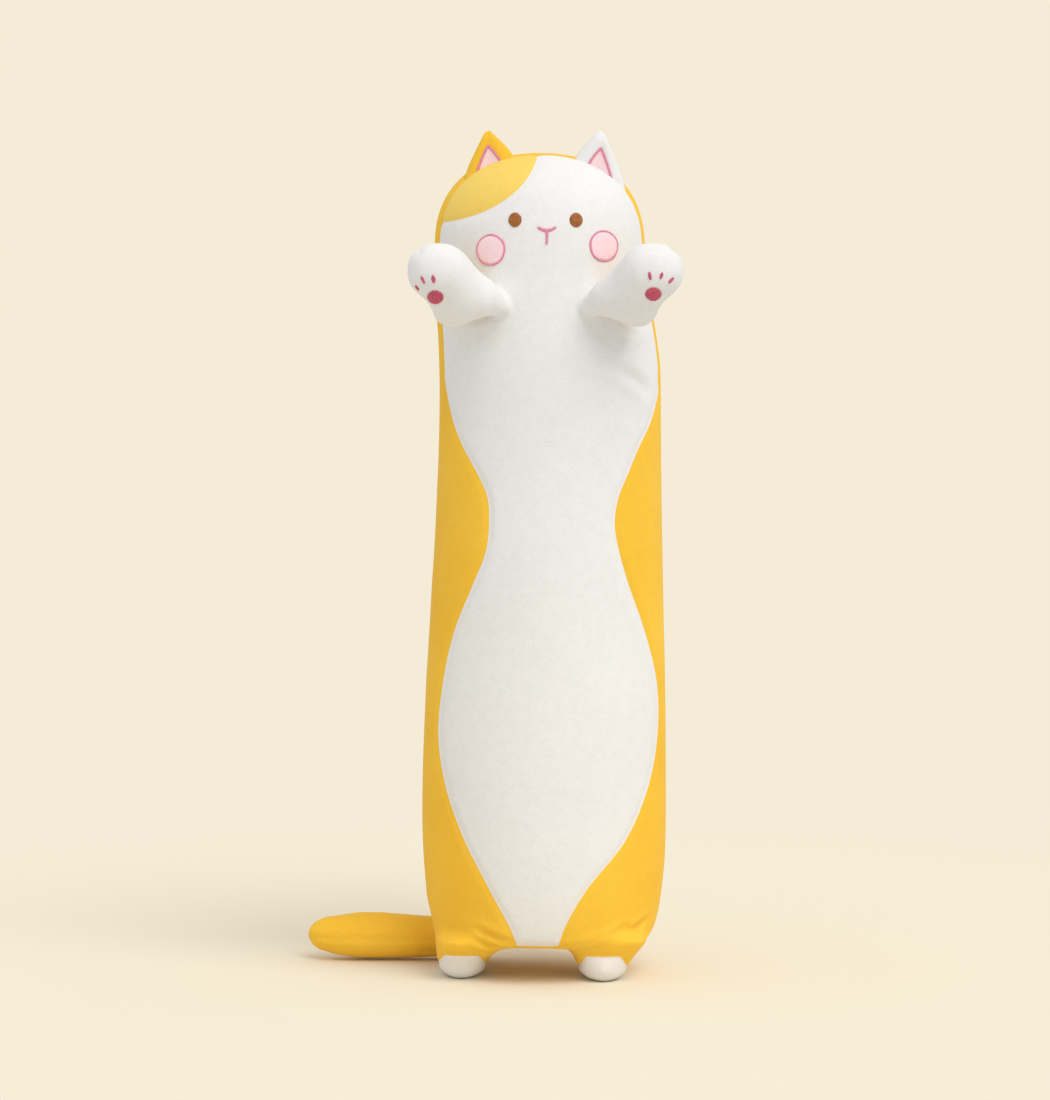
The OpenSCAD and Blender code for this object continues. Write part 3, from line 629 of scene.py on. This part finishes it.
def ring_points(x, y, z, w, d, power=1.0):
    """Level oval about (x, y), squarer with a smaller power."""
    turns = [2 * math.pi * k / RING_TURNS for k in range(RING_TURNS)]
    return [(x + w * bent(math.cos(a), power), y + d * bent(math.sin(a), power), z) for a in turns]


def body_core():
    """The body's plain oval, which closes the dimples that the limbs sit in."""
    heights = np.linspace(SEAT_SECTION[0] + 0.001, SECTIONS[-1, 0], CORE_RINGS)
    rings = [ring_points(AXIS.x + c, AXIS.y, z, w, d)
             for z, w, d, c in zip(heights, *section(heights))]
    return lofted("core", rings)


def leg_flare(name):
    """Solid that spreads from a foot into the body, and follows how far the foot is ahead of the other."""
    feet_middle = (middle("foot_left_cap").y + middle("foot_right_cap").y) / 2
    lead = middle(f"foot_{name}_cap").y - feet_middle
    rings = []
    for z, inner, outer, front, back in LEG_FLARES[name]:
        t = smooth((z - FOOT_TOP) / HEM_RISE)
        y = AXIS.y + lead * (1 - t) + (front + back) / 2
        square = FOOT_SQUARE + (HEM_SQUARE - FOOT_SQUARE) * t
        rings.append(ring_points(AXIS.x + (inner + outer) / 2, y, z,
                                 abs(outer - inner) / 2, (back - front) / 2, square))
    return lofted("flare", rings)


VOXEL = 0.0045
RELAX_ROUNDS = 7
# Cloth that blows the skin up: pressure, the most that a point may move, and the held seams' width
PUFF_PRESSURE = 4.0
PUFF_CAP = 0.003
HELD_WIDTH = 0.006
HELD_FLOOR = 0.012


parts = [frame["nodes"][n].data for n in SHELLS]
parts += [body_core(), leg_flare("left"), leg_flare("right")]
for limb in (*ARMS.values(), TAIL):
    parts += [ball(centre, radius) for centre, radius in limb.balls]
skin = merged("skin", parts)
modified(skin, "REMESH", mode="VOXEL", voxel_size=VOXEL)
largest_island(skin)

set_points(skin.data, relax(get_points(skin.data), get_edges(skin.data), RELAX_ROUNDS))


def seam_nearness(p, width):
    """One on any seam, falling to nothing away from it."""
    lines = [front_seam(p), arm_root("left")(p), arm_root("right")(p), tail_root(p)]
    return np.exp(-(np.min(np.abs(lines), axis=0) / width) ** 2)


points = get_points(skin.data)
floor_held = np.exp(-(points[:, 2] / HELD_FLOOR) ** 2)
held = np.maximum(seam_nearness(points, HELD_WIDTH), floor_held)
puff(skin, held, PUFF_PRESSURE, PUFF_CAP)
modified(skin, "SUBSURF", levels=1, render_levels=1)

# ---- Creases and grooves, as moves along the skin's normal ----

# Width and depth of the groove along each kind of seam
FRONT_GROOVE = (0.0032, 0.0016)
PATCH_GROOVE = (0.003, 0.0009)
CAP_GROOVE = (0.0025, 0.0012)
ROOT_GROOVE = (0.005, 0.0022)
PALM_GROOVE = (0.003, 0.0012)
TAIL_GROOVE = (0.0025, 0.0009)
# Grooves on a limb reach this far from its chain, and those of the face begin at this height
LIMB_REACH = 0.01
FACE_FROM = 0.55
# The bank that a crease throws up beside it, as a share of its depth
CREASE_BANK = 0.45


def segment_distance(p, a, b):
    """Distance to a line from a to b, and the share along it."""
    a, b = np.array(a), np.array(b)
    d = b - a
    t = np.clip((p - a) @ d / (d @ d), 0, 1)
    return np.linalg.norm(p - a - t[:, None] * d, axis=1), t


def groove(value, width, depth):
    """Depth of a soft groove at distances from its line."""
    return depth * np.exp(-(value / width) ** 2)


def in_body(x, y, z):
    """Point given from the body's axis and the floor."""
    return (AXIS.x + x, AXIS.y + y, z)


# Creases at the legs and under the arms: both ends, depth and width
CREASES = [
    (in_body(-0.066, -0.066, 0.048), in_body(-0.030, -0.068, 0.036), 0.0030, 0.0030),
    (in_body(-0.060, -0.064, 0.038), in_body(-0.036, -0.062, 0.028), 0.0026, 0.0026),
    (in_body(0.012, -0.066, 0.034), in_body(0.066, -0.055, 0.046), 0.0030, 0.0030),
    (in_body(0.062, -0.054, 0.040), in_body(0.086, -0.036, 0.050), 0.0026, 0.0030),
    (in_body(0.066, -0.048, 0.032), in_body(0.082, -0.034, 0.040), 0.0024, 0.0026),
    (in_body(-0.098, -0.012, 0.064), in_body(-0.084, -0.030, 0.056), 0.0022, 0.0032),
    (in_body(0.040, -0.071, 0.511), in_body(0.086, -0.040, 0.482), 0.0034, 0.0050),
    (in_body(0.088, -0.045, 0.5415), in_body(0.066, -0.062, 0.538), 0.0022, 0.0028),
    (in_body(0.084, -0.045, 0.531), in_body(0.062, -0.060, 0.527), 0.0028, 0.0034),
    (in_body(-0.086, -0.045, 0.5365), in_body(-0.0735, -0.055, 0.534), 0.0024, 0.0028),
    (in_body(-0.0745, -0.055, 0.534), in_body(-0.0500, -0.070, 0.542), 0.0026, 0.0028),
]

points = get_points(skin.data)
normals = get_normals(skin.data)
body_part = (arm_root("left")(points) < 0) & (arm_root("right")(points) < 0) & (tail_root(points) < 0)
sink = groove(front_seam(points), *FRONT_GROOVE) * body_part * (points[:, 2] > LEG_TOP)
on_face_side = body_part & (front_seam(points) > -0.002) & (points[:, 2] > FACE_FROM)
sink += groove(patch_seam(points), *PATCH_GROOVE) * on_face_side
sink += groove(cap_seam(points), *CAP_GROOVE) * (points[:, 2] < LEG_TOP)
for name in ARMS:
    on_arm = ~body_part & (ARMS[name].distance(points) < LIMB_REACH)
    sink += groove(arm_root(name)(points), *ROOT_GROOVE)
    sink += groove(palm_seam(name)(points), *PALM_GROOVE) * on_arm
on_tail = ~body_part & (TAIL.distance(points) < LIMB_REACH)
sink += groove(tail_root(points), *ROOT_GROOVE)
sink += groove(tail_seam(points), *TAIL_GROOVE) * on_tail
for a, b, depth, width in CREASES:
    far, t = segment_distance(points, a, b)
    taper = np.sin(np.pi * np.clip(t, 0.08, 0.92)) ** 0.7
    sink += groove(far, width, depth) * taper
    sink -= groove(far - 2 * width, width, depth * CREASE_BANK) * taper
points -= normals * sink[:, None]
points[:, 2] = np.maximum(points[:, 2], 0.0)
set_points(skin.data, points)

# ---- Cutting the skin into its pieces ----

bm = bmesh.new()
bm.from_mesh(skin.data)
layer = bm.faces.layers.int.new("region")


def right_half(p):
    """Positive to the right of the body's axis."""
    return p[:, 0] - AXIS.x


# Region to cut, the region that is new, and the seam between them
CUTS = [
    ("body", "arm_left", arm_root("left")), ("body", "arm_right", arm_root("right")),
    ("body", "tail_lower", tail_root), ("body", "legs", leg_seam), ("legs", "caps", cap_seam),
    ("body", "front_panel", front_seam), ("front_panel", "head_patch", patch_seam),
    ("arm_left", "arm_left_palm_side", palm_seam("left")),
    ("arm_right", "arm_right_palm_side", palm_seam("right")),
    ("tail_lower", "tail_upper", tail_seam),
    ("legs", "leg_right_sleeve", right_half),
    ("caps", "foot_right_cap", right_half),
]
REGIONS = {"body": 0}
for old, fresh, seam in CUTS:
    REGIONS[fresh] = len(REGIONS)
    cut_along(bm, layer, REGIONS[old], seam)
    label(bm, layer, REGIONS[old], REGIONS[fresh], seam)
bm.normal_update()
bm.to_mesh(skin.data)
# Nodes that the regions left over at the end stand for
NODE_OF_REGION = {"body": "back_panel", "legs": "leg_left_sleeve", "caps": "foot_left_cap",
                  "arm_left": "arm_left_back_side", "arm_right": "arm_right_back_side"}
SKIN_TREE = BVHTree.FromBMesh(bm)
bm.free()


def split_region(region, name):
    """A new object from one region's faces, with the whole skin's normals."""
    mesh = skin.data
    chosen = [f for f, r in zip(mesh.polygons, REGION_OF) if r == region]
    used = sorted({i for f in chosen for i in f.vertices})
    where = {old: new for new, old in enumerate(used)}
    faces = [[where[i] for i in f.vertices] for f in chosen]
    obj = new_object(name, [mesh.vertices[i].co for i in used], faces)
    smooth_shade(obj)
    obj.data.normals_split_custom_set_from_vertices([SKIN_NORMALS[i] for i in used])
    return obj


REGION_OF = [d.value for d in skin.data.attributes["region"].data]
SKIN_NORMALS = [v.vector.copy() for v in skin.data.vertex_normals]
PIECES = {}
for region, number in REGIONS.items():
    node = NODE_OF_REGION.get(region, region)
    PIECES[node] = split_region(number, node + "_plush")


def finish_piece(obj, material, nodes, body=None):
    """Gives a piece its material, hides the nodes it stands for and attaches it to its body, if one is
    given.
    """
    obj.data.materials.clear()
    obj.data.materials.append(material)
    if nodes:
        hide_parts(*nodes)
    if body:
        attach(obj, body)


BODY_PIECES = {
    "front_panel": (WHITE, "white_plush", ["front_panel", "body_stuffing"]),
    "back_panel": (YELLOW, "yellow_plush", ["back_panel"]),
    "head_patch": (PATCH, "patch_plush", ["head_patch"]),
    "leg_left_sleeve": (YELLOW, "yellow_plush", ["leg_left_sleeve", "leg_left_stuffing"]),
    "leg_right_sleeve": (YELLOW, "yellow_plush", ["leg_right_sleeve", "leg_right_stuffing"]),
    "foot_left_cap": (WHITE, "white_plush", ["foot_left_cap"]),
    "foot_right_cap": (WHITE, "white_plush", ["foot_right_cap"]),
}
for node, (material, slot, nodes) in BODY_PIECES.items():
    finish_piece(PIECES[node], material, nodes, "torso")


def blend_outwards(obj):
    """Bakes a piece's place into its mesh, so that it stays where it was built."""
    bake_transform(obj)


for name, side in SIDES.items():
    outwards = JOINTS[f"arm_{name}_swing"] - AXIS
    outwards.z = 0
    outwards.normalize()
    for part, material, slot, nodes in (
        ("palm_side", WHITE, "white_plush", [f"arm_{name}_palm_side", f"arm_{name}_stuffing"]),
        ("back_side", YELLOW, "yellow_plush", [f"arm_{name}_back_side"]),
    ):
        piece = PIECES[f"arm_{name}_{part}"]
        finish_piece(piece, material, nodes)
        blend_outwards(piece)

for part, nodes in (("tail_upper", ["tail_upper", "tail_stuffing"]), ("tail_lower", ["tail_lower"])):
    finish_piece(PIECES[part], YELLOW, nodes)
    blend_outwards(PIECES[part])

bpy.data.objects.remove(skin)

# ---- Ears ----

EAR_ROWS, EAR_COLUMNS = 10, 12
EAR_SUNK = 0.012
EAR_LEAN = 0.002
EAR_TIP_BELOW = 0.001
# How far an ear narrows towards its blunt tip, and how its sides curve
EAR_POINT = 0.93
EAR_TAPER = 0.9
EAR_BULGE = 0.10
# Half thickness at the base, how much of it is lost by the tip, and how fast the tip closes
EAR_THICK = 0.0075
EAR_THINNING = 0.0035
EAR_CLOSING = 5
# Depth of the hollow in front, as a share of the thickness, and its half width
EAR_DISH = 0.35
EAR_DISH_WIDTH = 0.45
# The pink lining's width at the base and its height, as shares of the ear's
PINK_SHARE = 0.52
PINK_TOP = 0.64


class Ear:
    """A padded triangle that stands on the head."""

    def __init__(self, name, side):
        low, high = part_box(f"ear_{name}_front")
        self.base, self.run = JOINTS[f"ear_{name}_fold"], JOINT_AXES[f"ear_{name}_fold"]
        self.half = (high[0] - low[0]) / 2 / self.run.x
        self.tip = Vector((self.base.x + side * EAR_LEAN, self.base.y, high[2] - EAR_TIP_BELOW))

    def point(self, s, t, face):
        """Place at s, from -1 to 1 along the base, and t, from the base to the tip; face is -1 in front."""
        foot = self.base - Vector((0, 0, EAR_SUNK))
        rise = self.tip - foot
        width = self.half * (1 - EAR_POINT * t) ** EAR_TAPER * (1 + EAR_BULGE * math.sin(math.pi * t))
        p = foot + rise * t + self.run * (s * width)
        dish = 1 - EAR_DISH * math.exp(-((s / EAR_DISH_WIDTH) ** 2)) if face < 0 else 1
        closing = min(1, (1 - t) * EAR_CLOSING) ** 0.5
        thick = (EAR_THICK - EAR_THINNING * t) * math.sqrt(max(1 - s * s, 0)) * dish * closing
        return p + Vector((0, face * thick, 0))


def grid_object(name, rows):
    """An open sheet through rows of points."""
    n = len(rows[0])
    verts = [p for row in rows for p in row]
    faces = [[i * n + j, i * n + j + 1, (i + 1) * n + j + 1, (i + 1) * n + j]
             for i in range(len(rows) - 1) for j in range(n - 1)]
    return new_object(name, verts, faces)


EARS = {}
for name, side in SIDES.items():
    ear = Ear(name, side)
    EARS[name] = ear
    for part, face in (("front", -1), ("back", 1)):
        rows = []
        for i in range(EAR_ROWS + 1):
            t = i / EAR_ROWS
            angles = [math.pi * (j / EAR_COLUMNS - 0.5) for j in range(EAR_COLUMNS + 1)]
            if face > 0:
                angles.reverse()
            rows.append([ear.point(math.sin(a), t, face) for a in angles])
        piece = grid_object(f"ear_{name}_{part}_plush", rows)
        modified(piece, "SUBSURF", levels=2, render_levels=2)
        smooth_shade(piece)
        white = name == "right" and part == "front"
        nodes = [f"ear_{name}_{part}"] + ([f"ear_{name}_stuffing"] if part == "front" else [])
        finish_piece(piece, WHITE if white else YELLOW, nodes)
        blend_outwards(piece)

# ---- Embroidery: satin stitches that follow the plush ----


def front_of_body(x, z):
    """Place and normal on the front of the skin."""
    hit, normal, _, _ = SKIN_TREE.ray_cast(Vector((x, -1, z)), Vector((0, 1, 0)))
    return hit, normal


THREAD_SIDES = 6
# A thread's height over its width, its width at the ends, and its width over the pitch
THREAD_FLATNESS = 0.8
THREAD_END = 0.45
THREAD_OVERLAP = 1.5
# Threads lie at least this far above the plush
THREAD_LIFT = 0.0001
LINE_PITCH = 0.0008
# Places across a short thread
ACROSS = (-1.0, -0.5, 0.0, 0.5, 1.0)


def stitch(verts, faces, path, normals, width):
    """Adds a thread along a path of points, with closed ends."""
    sides = THREAD_SIDES
    first = len(verts)
    for i, (p, n) in enumerate(zip(path, normals)):
        ahead = path[min(i + 1, len(path) - 1)] - path[max(i - 1, 0)]
        across = ahead.cross(n).normalized()
        at_end = i in (0, len(path) - 1)
        r = width / 2 * (THREAD_END if at_end else 1.0)
        for k in range(sides):
            a = 2 * math.pi * k / sides
            verts.append(p + across * (r * math.cos(a)) + n * (r * THREAD_FLATNESS * math.sin(a)))
    for i in range(len(path) - 1):
        for k in range(sides):
            a, b = first + i * sides + k, first + i * sides + (k + 1) % sides
            faces.append([a, a + sides, b + sides, b])
    last = first + (len(path) - 1) * sides
    faces.append([first + k for k in range(sides)])
    faces.append([last + k for k in reversed(range(sides))])


def satin_oval(name, on_skin, width, height, tilt=0.0, pitch=0.00072, dome=0.0010, steps=8):
    """Close threads side by side that fill an oval; on_skin turns (u, v) into a place and a normal."""
    verts, faces = [], []
    count = max(3, round(height / pitch))
    for i in range(count):
        v = (i + 0.5) / count * 2 - 1
        reach = math.sqrt(1 - v * v) * (1 + RANDOM.uniform(-0.03, 0.03))
        path, normals = [], []
        for j in range(steps + 1):
            u = reach * (2 * j / steps - 1)
            a, b = u * width / 2, v * height / 2
            place = on_skin(a * math.cos(tilt) - b * math.sin(tilt), a * math.sin(tilt) + b * math.cos(tilt))
            crown = math.sqrt(max(1 - (u * u + v * v), 0))
            path.append(place[0] + place[1] * (dome * crown + THREAD_LIFT))
            normals.append(place[1])
        stitch(verts, faces, path, normals, pitch * THREAD_OVERLAP)
    return thread_object(name, verts, faces)


def satin_line(name, on_skin, line, half_widths, pitch=LINE_PITCH, lift=0.0006):
    """Short threads across a line of (u, v) points."""
    verts, faces = [], []
    add_satin_line(verts, faces, on_skin, line, half_widths, pitch, lift)
    return thread_object(name, verts, faces)


def add_satin_line(verts, faces, on_skin, line, half_widths, pitch, lift):
    """Adds threads across a line to a mesh that other lines share."""
    line = [Vector(p) for p in line]
    lengths = [0.0]
    for a, b in zip(line, line[1:]):
        lengths.append(lengths[-1] + (b - a).length)
    count = max(3, round(lengths[-1] / pitch))
    for i in range(count):
        far = lengths[-1] * (i + 0.5) / count
        k = max(j for j in range(len(line) - 1) if lengths[j] <= far)
        t = (far - lengths[k]) / (lengths[k + 1] - lengths[k])
        here = line[k].lerp(line[k + 1], t)
        ahead = (line[k + 1] - line[k]).normalized()
        across = Vector((-ahead.y, ahead.x))
        half = half_widths[k] + (half_widths[k + 1] - half_widths[k]) * t
        half *= 1 + RANDOM.uniform(-0.14, 0.14)
        path, normals = [], []
        for j in ACROSS:
            place = on_skin(*(here + across * (half * j)))
            path.append(place[0] + place[1] * (lift * (1 - j * j) + THREAD_LIFT))
            normals.append(place[1])
        stitch(verts, faces, path, normals, pitch * THREAD_OVERLAP)


def thread_object(name, verts, faces):
    obj = new_object(name, verts, faces)
    smooth_shade(obj)
    return obj


def on_face(x, z):
    """Turns (u, v) about a point on the face into a place on the skin."""
    return lambda u, v: front_of_body(x + u, z + v)


for name in SIDES:
    at = middle(f"eye_{name}")
    piece = satin_oval(f"eye_{name}_satin", on_face(at.x, at.z), 0.0108, 0.0112, pitch=0.0008, dome=0.0012)
    finish_piece(piece, BROWN, [f"eye_{name}"], "torso")

    at = middle(f"cheek_{name}")
    low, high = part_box(f"cheek_{name}_outline")
    wide, tall = (high[0] - low[0]) / 2, (high[2] - low[2]) / 2
    skin_at = on_face(at.x, at.z)
    piece = satin_oval(f"cheek_{name}_satin", skin_at, 2 * tall - 0.0016, 2 * wide - 0.0016,
                       tilt=math.pi / 2, pitch=0.0009, dome=0.0007, steps=10)
    finish_piece(piece, CHEEK_PINK, [f"cheek_{name}"], "torso")
    turns = 48
    ring = []
    for i in range(turns + 1):
        a = 2 * math.pi * i / turns
        wobble = 1 + 0.012 * math.sin(3 * a + 0.8) + 0.010 * math.sin(5 * a)
        ring.append(((wide - 0.0011) * wobble * math.cos(a), (tall - 0.0011) * wobble * math.sin(a)))
    piece = satin_line(f"cheek_{name}_outline_satin", skin_at, ring,
                       [0.0008 + 0.0002 * math.sin(i / 3.1) for i in range(turns + 1)], pitch=0.0009)
    finish_piece(piece, PINK, [f"cheek_{name}_outline"], "torso")

# Half widths along the nose's wings and along the line below it
NOSE_WING_HALVES = [0.0014, 0.0014, 0.0013, 0.0012, 0.0008]
NOSE_STEM_HALVES = [0.0014, 0.0011, 0.0010]
NOSE_LIFT = 0.0007
low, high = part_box("nose_mouth")
verts, faces = [], []
skin_at = on_face((low[0] + high[0]) / 2, high[2])
half_nose = (high[0] - low[0]) / 2 - LINE_PITCH
for side in (-1, 1):
    wing = [(side * half_nose * t, -0.0040 + 0.0026 * t * t) for t in (0.0, 0.25, 0.5, 0.75, 1.0)]
    add_satin_line(verts, faces, skin_at, wing, NOSE_WING_HALVES, LINE_PITCH, NOSE_LIFT)
stem = [(0, -0.0048), (0.0002, -0.009), (-0.0002, low[2] - high[2] + 0.0004)]
add_satin_line(verts, faces, skin_at, stem, NOSE_STEM_HALVES, LINE_PITCH, NOSE_LIFT)
finish_piece(thread_object("nose_mouth_satin", verts, faces), PINK, ["nose_mouth"], "torso")


TOE_LIFT = 0.0008
# A pad lies this far outside and above the CAD's one
PAD_SHIFT = {"left": (0.0041, 0.0), "right": (0.0022, 0.0023)}
# Toes from the inner to the outer: place outside and above the pad, lean, half length and half width
TOES = {
    "left": [(0.0012, 0.0137, 0.15, 0.0029, 0.0015), (0.0095, 0.0130, 0.45, 0.0028, 0.0011),
             (0.0142, 0.0073, 0.65, 0.0020, 0.0007)],
    "right": [(-0.0031, 0.0137, -0.18, 0.0029, 0.0014), (0.0060, 0.0139, 0.30, 0.0025, 0.0012),
              (0.0137, 0.0105, 0.75, 0.0027, 0.0011)],
}
for name, side in SIDES.items():
    at = middle(f"arm_{name}_pad")
    x, z = at.x + side * PAD_SHIFT[name][0], at.z + PAD_SHIFT[name][1]
    piece = satin_oval(f"arm_{name}_pad_satin", on_face(x, z), 0.0132, 0.0098, pitch=0.00075, dome=0.0014)
    finish_piece(piece, CRIMSON, [f"arm_{name}_pad"], f"arm_{name}")
    verts, faces = [], []
    for out, up, lean, half_long, half_wide in TOES[name]:
        ends = [(side * (out + half_long * k * math.sin(lean)), up + half_long * k * math.cos(lean))
                for k in (-1, -0.4, 0.4, 1)]
        widths = [half_wide * 0.5, half_wide, half_wide, half_wide * 0.5]
        add_satin_line(verts, faces, on_face(x, z), ends, widths, LINE_PITCH, TOE_LIFT)
    piece = thread_object(f"arm_{name}_toes_satin", verts, faces)
    finish_piece(piece, CRIMSON, [f"arm_{name}_toes"], f"arm_{name}")

# ---- Pink inside of the ears, with its stitched outline ----

for name, ear in EARS.items():
    rows = []
    steps = 12
    for i in range(steps + 1):
        t = PINK_TOP * i / steps
        share = PINK_SHARE * (1 - i / steps) ** 0.9 / (1 - EAR_POINT * t) ** EAR_TAPER * 0.98 + 0.004
        rows.append([ear.point(share * (j / 6 - 1), t, -1) + Vector((0, -0.0006, 0)) for j in range(13)])
    piece = grid_object(f"ear_{name}_inner_plush", rows)
    modified(piece, "SOLIDIFY", thickness=0.0010, offset=-1.0)
    modified(piece, "SUBSURF", levels=1, render_levels=1)
    smooth_shade(piece)
    finish_piece(piece, PALE_PINK, [f"ear_{name}_inner"])
    blend_outwards(piece)
    edge = [row[0] for row in rows] + [row[-1] for row in reversed(rows)]
    verts, faces = [], []
    for a, b in zip(edge, edge[1:]):
        if (b - a).length < 1e-5:
            continue
        across = (b - a).cross(FORWARD).normalized() * 0.0010
        count = max(1, round((b - a).length / 0.0008))
        for k in range(count):
            p = a.lerp(b, (k + 0.5) / count)
            path = [p + across * j + FORWARD * (0.0006 * (1 - j * j)) for j in ACROSS]
            stitch(verts, faces, path, [FORWARD] * len(path), 0.0012)
    piece = thread_object(f"ear_{name}_outline_satin", verts, faces)
    finish_piece(piece, PINK, [f"ear_{name}_outline"])
    blend_outwards(piece)

# ---- Ladder stitches that close the opening under the seat ----

low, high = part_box("closing_stitches")
verts, faces = [], []
stitches = 8
for i in range(stitches):
    x = low[0] + (high[0] - low[0]) * (i + 0.5) / stitches
    path, normals = [], []
    for k in range(5):
        y = low[1] + (high[1] - low[1]) * k / 4
        hit, normal, _, _ = SKIN_TREE.ray_cast(Vector((x, y, -0.1)), Vector((0, 0, 1)))
        path.append(hit + normal * 0.0004)
        normals.append(normal)
    stitch(verts, faces, path, normals, 0.0010)
finish_piece(thread_object("closing_stitches_thread", verts, faces), YELLOW_THREAD,
             ["closing_stitches"], "torso")

# ---- Studio, light and camera ----

BACKDROP = (245, 236, 215)
# The floor is seen near the toy and fades into the backdrop between these distances
FLOOR_NEAR = 0.45
FLOOR_FAR = 1.15
floor = new_object("floor", [(-1.5, -1.5, 0), (1.5, -1.5, 0), (1.5, 1.5, 0), (-1.5, 1.5, 0)], [[0, 1, 2, 3]])
paper = bpy.data.materials.new("floor_paper")
paper.use_nodes = True
tree = paper.node_tree
shader = tree.nodes["Principled BSDF"]
shader.inputs["Base Color"].default_value = (*linear((235, 226, 205)), 1)
shader.inputs["Roughness"].default_value = 0.95
shader.inputs["Specular IOR Level"].default_value = 0.0
where = tree.nodes.new("ShaderNodeTexCoord").outputs["Object"]
far = tree.nodes.new("ShaderNodeVectorMath")
far.operation = "LENGTH"
tree.links.new(where, far.inputs[0])
fade = add_node(tree, "ShaderNodeMapRange", From_Min=FLOOR_NEAR, From_Max=FLOOR_FAR, To_Min=1.0, To_Max=0.0)
fade.interpolation_type = "SMOOTHSTEP"
tree.links.new(far.outputs["Value"], fade.inputs["Value"])
clear = tree.nodes.new("ShaderNodeBsdfTransparent")
mixed = tree.nodes.new("ShaderNodeMixShader")
tree.links.new(fade.outputs["Result"], mixed.inputs["Fac"])
tree.links.new(clear.outputs["BSDF"], mixed.inputs[1])
tree.links.new(shader.outputs["BSDF"], mixed.inputs[2])
tree.links.new(mixed.outputs["Shader"], tree.nodes["Material Output"].inputs["Surface"])
floor.data.materials.append(paper)

# Neutral soft light from all round, with a cream backdrop for the camera only
world = bpy.data.worlds.new("studio_light")
bpy.context.scene.world = world
world.use_nodes = True
tree = world.node_tree
light = tree.nodes["Background"]
light.inputs["Color"].default_value = (0.97, 0.985, 1.0, 1)
light.inputs["Strength"].default_value = 0.77
backdrop = add_node(tree, "ShaderNodeBackground", Color=(*linear(BACKDROP), 1), Strength=1.0)
seen = tree.nodes.new("ShaderNodeLightPath")
both = tree.nodes.new("ShaderNodeMixShader")
tree.links.new(seen.outputs["Is Camera Ray"], both.inputs["Fac"])
tree.links.new(light.outputs["Background"], both.inputs[1])
tree.links.new(backdrop.outputs["Background"], both.inputs[2])
tree.links.new(both.outputs["Shader"], tree.nodes["World Output"].inputs["Surface"])

sun = bpy.data.lights.new("key", "SUN")
sun.energy = 1.52
sun.angle = math.radians(42)
sun.color = (1.0, 0.99, 0.97)
key = bpy.data.objects.new("key", sun)
key.rotation_euler = Vector((-0.45, 0.60, -0.90)).to_track_quat("-Z", "Y").to_euler()
bpy.context.scene.collection.objects.link(key)

bpy.context.scene.view_settings.view_transform = "Standard"

CAMERA_H = 0.450
CAMERA_FAR = 2.5
AIM_H = 0.352
AIM_X = -0.018
VIEW_HEIGHT = 0.913
camera_data = bpy.data.cameras.new("camera")
camera = bpy.data.objects.new("camera", camera_data)
bpy.context.scene.collection.objects.link(camera)
camera.location = (AXIS.x + AIM_X, AXIS.y - CAMERA_FAR, CAMERA_H)
aim = Vector((AXIS.x + AIM_X, AXIS.y, AIM_H))
camera.rotation_euler = (aim - camera.location).to_track_quat("-Z", "Y").to_euler()
camera_data.sensor_width = 36
camera_data.lens = 36 * (aim - camera.location).length / VIEW_HEIGHT
camera_data.clip_end = 200
bpy.context.scene.camera = camera
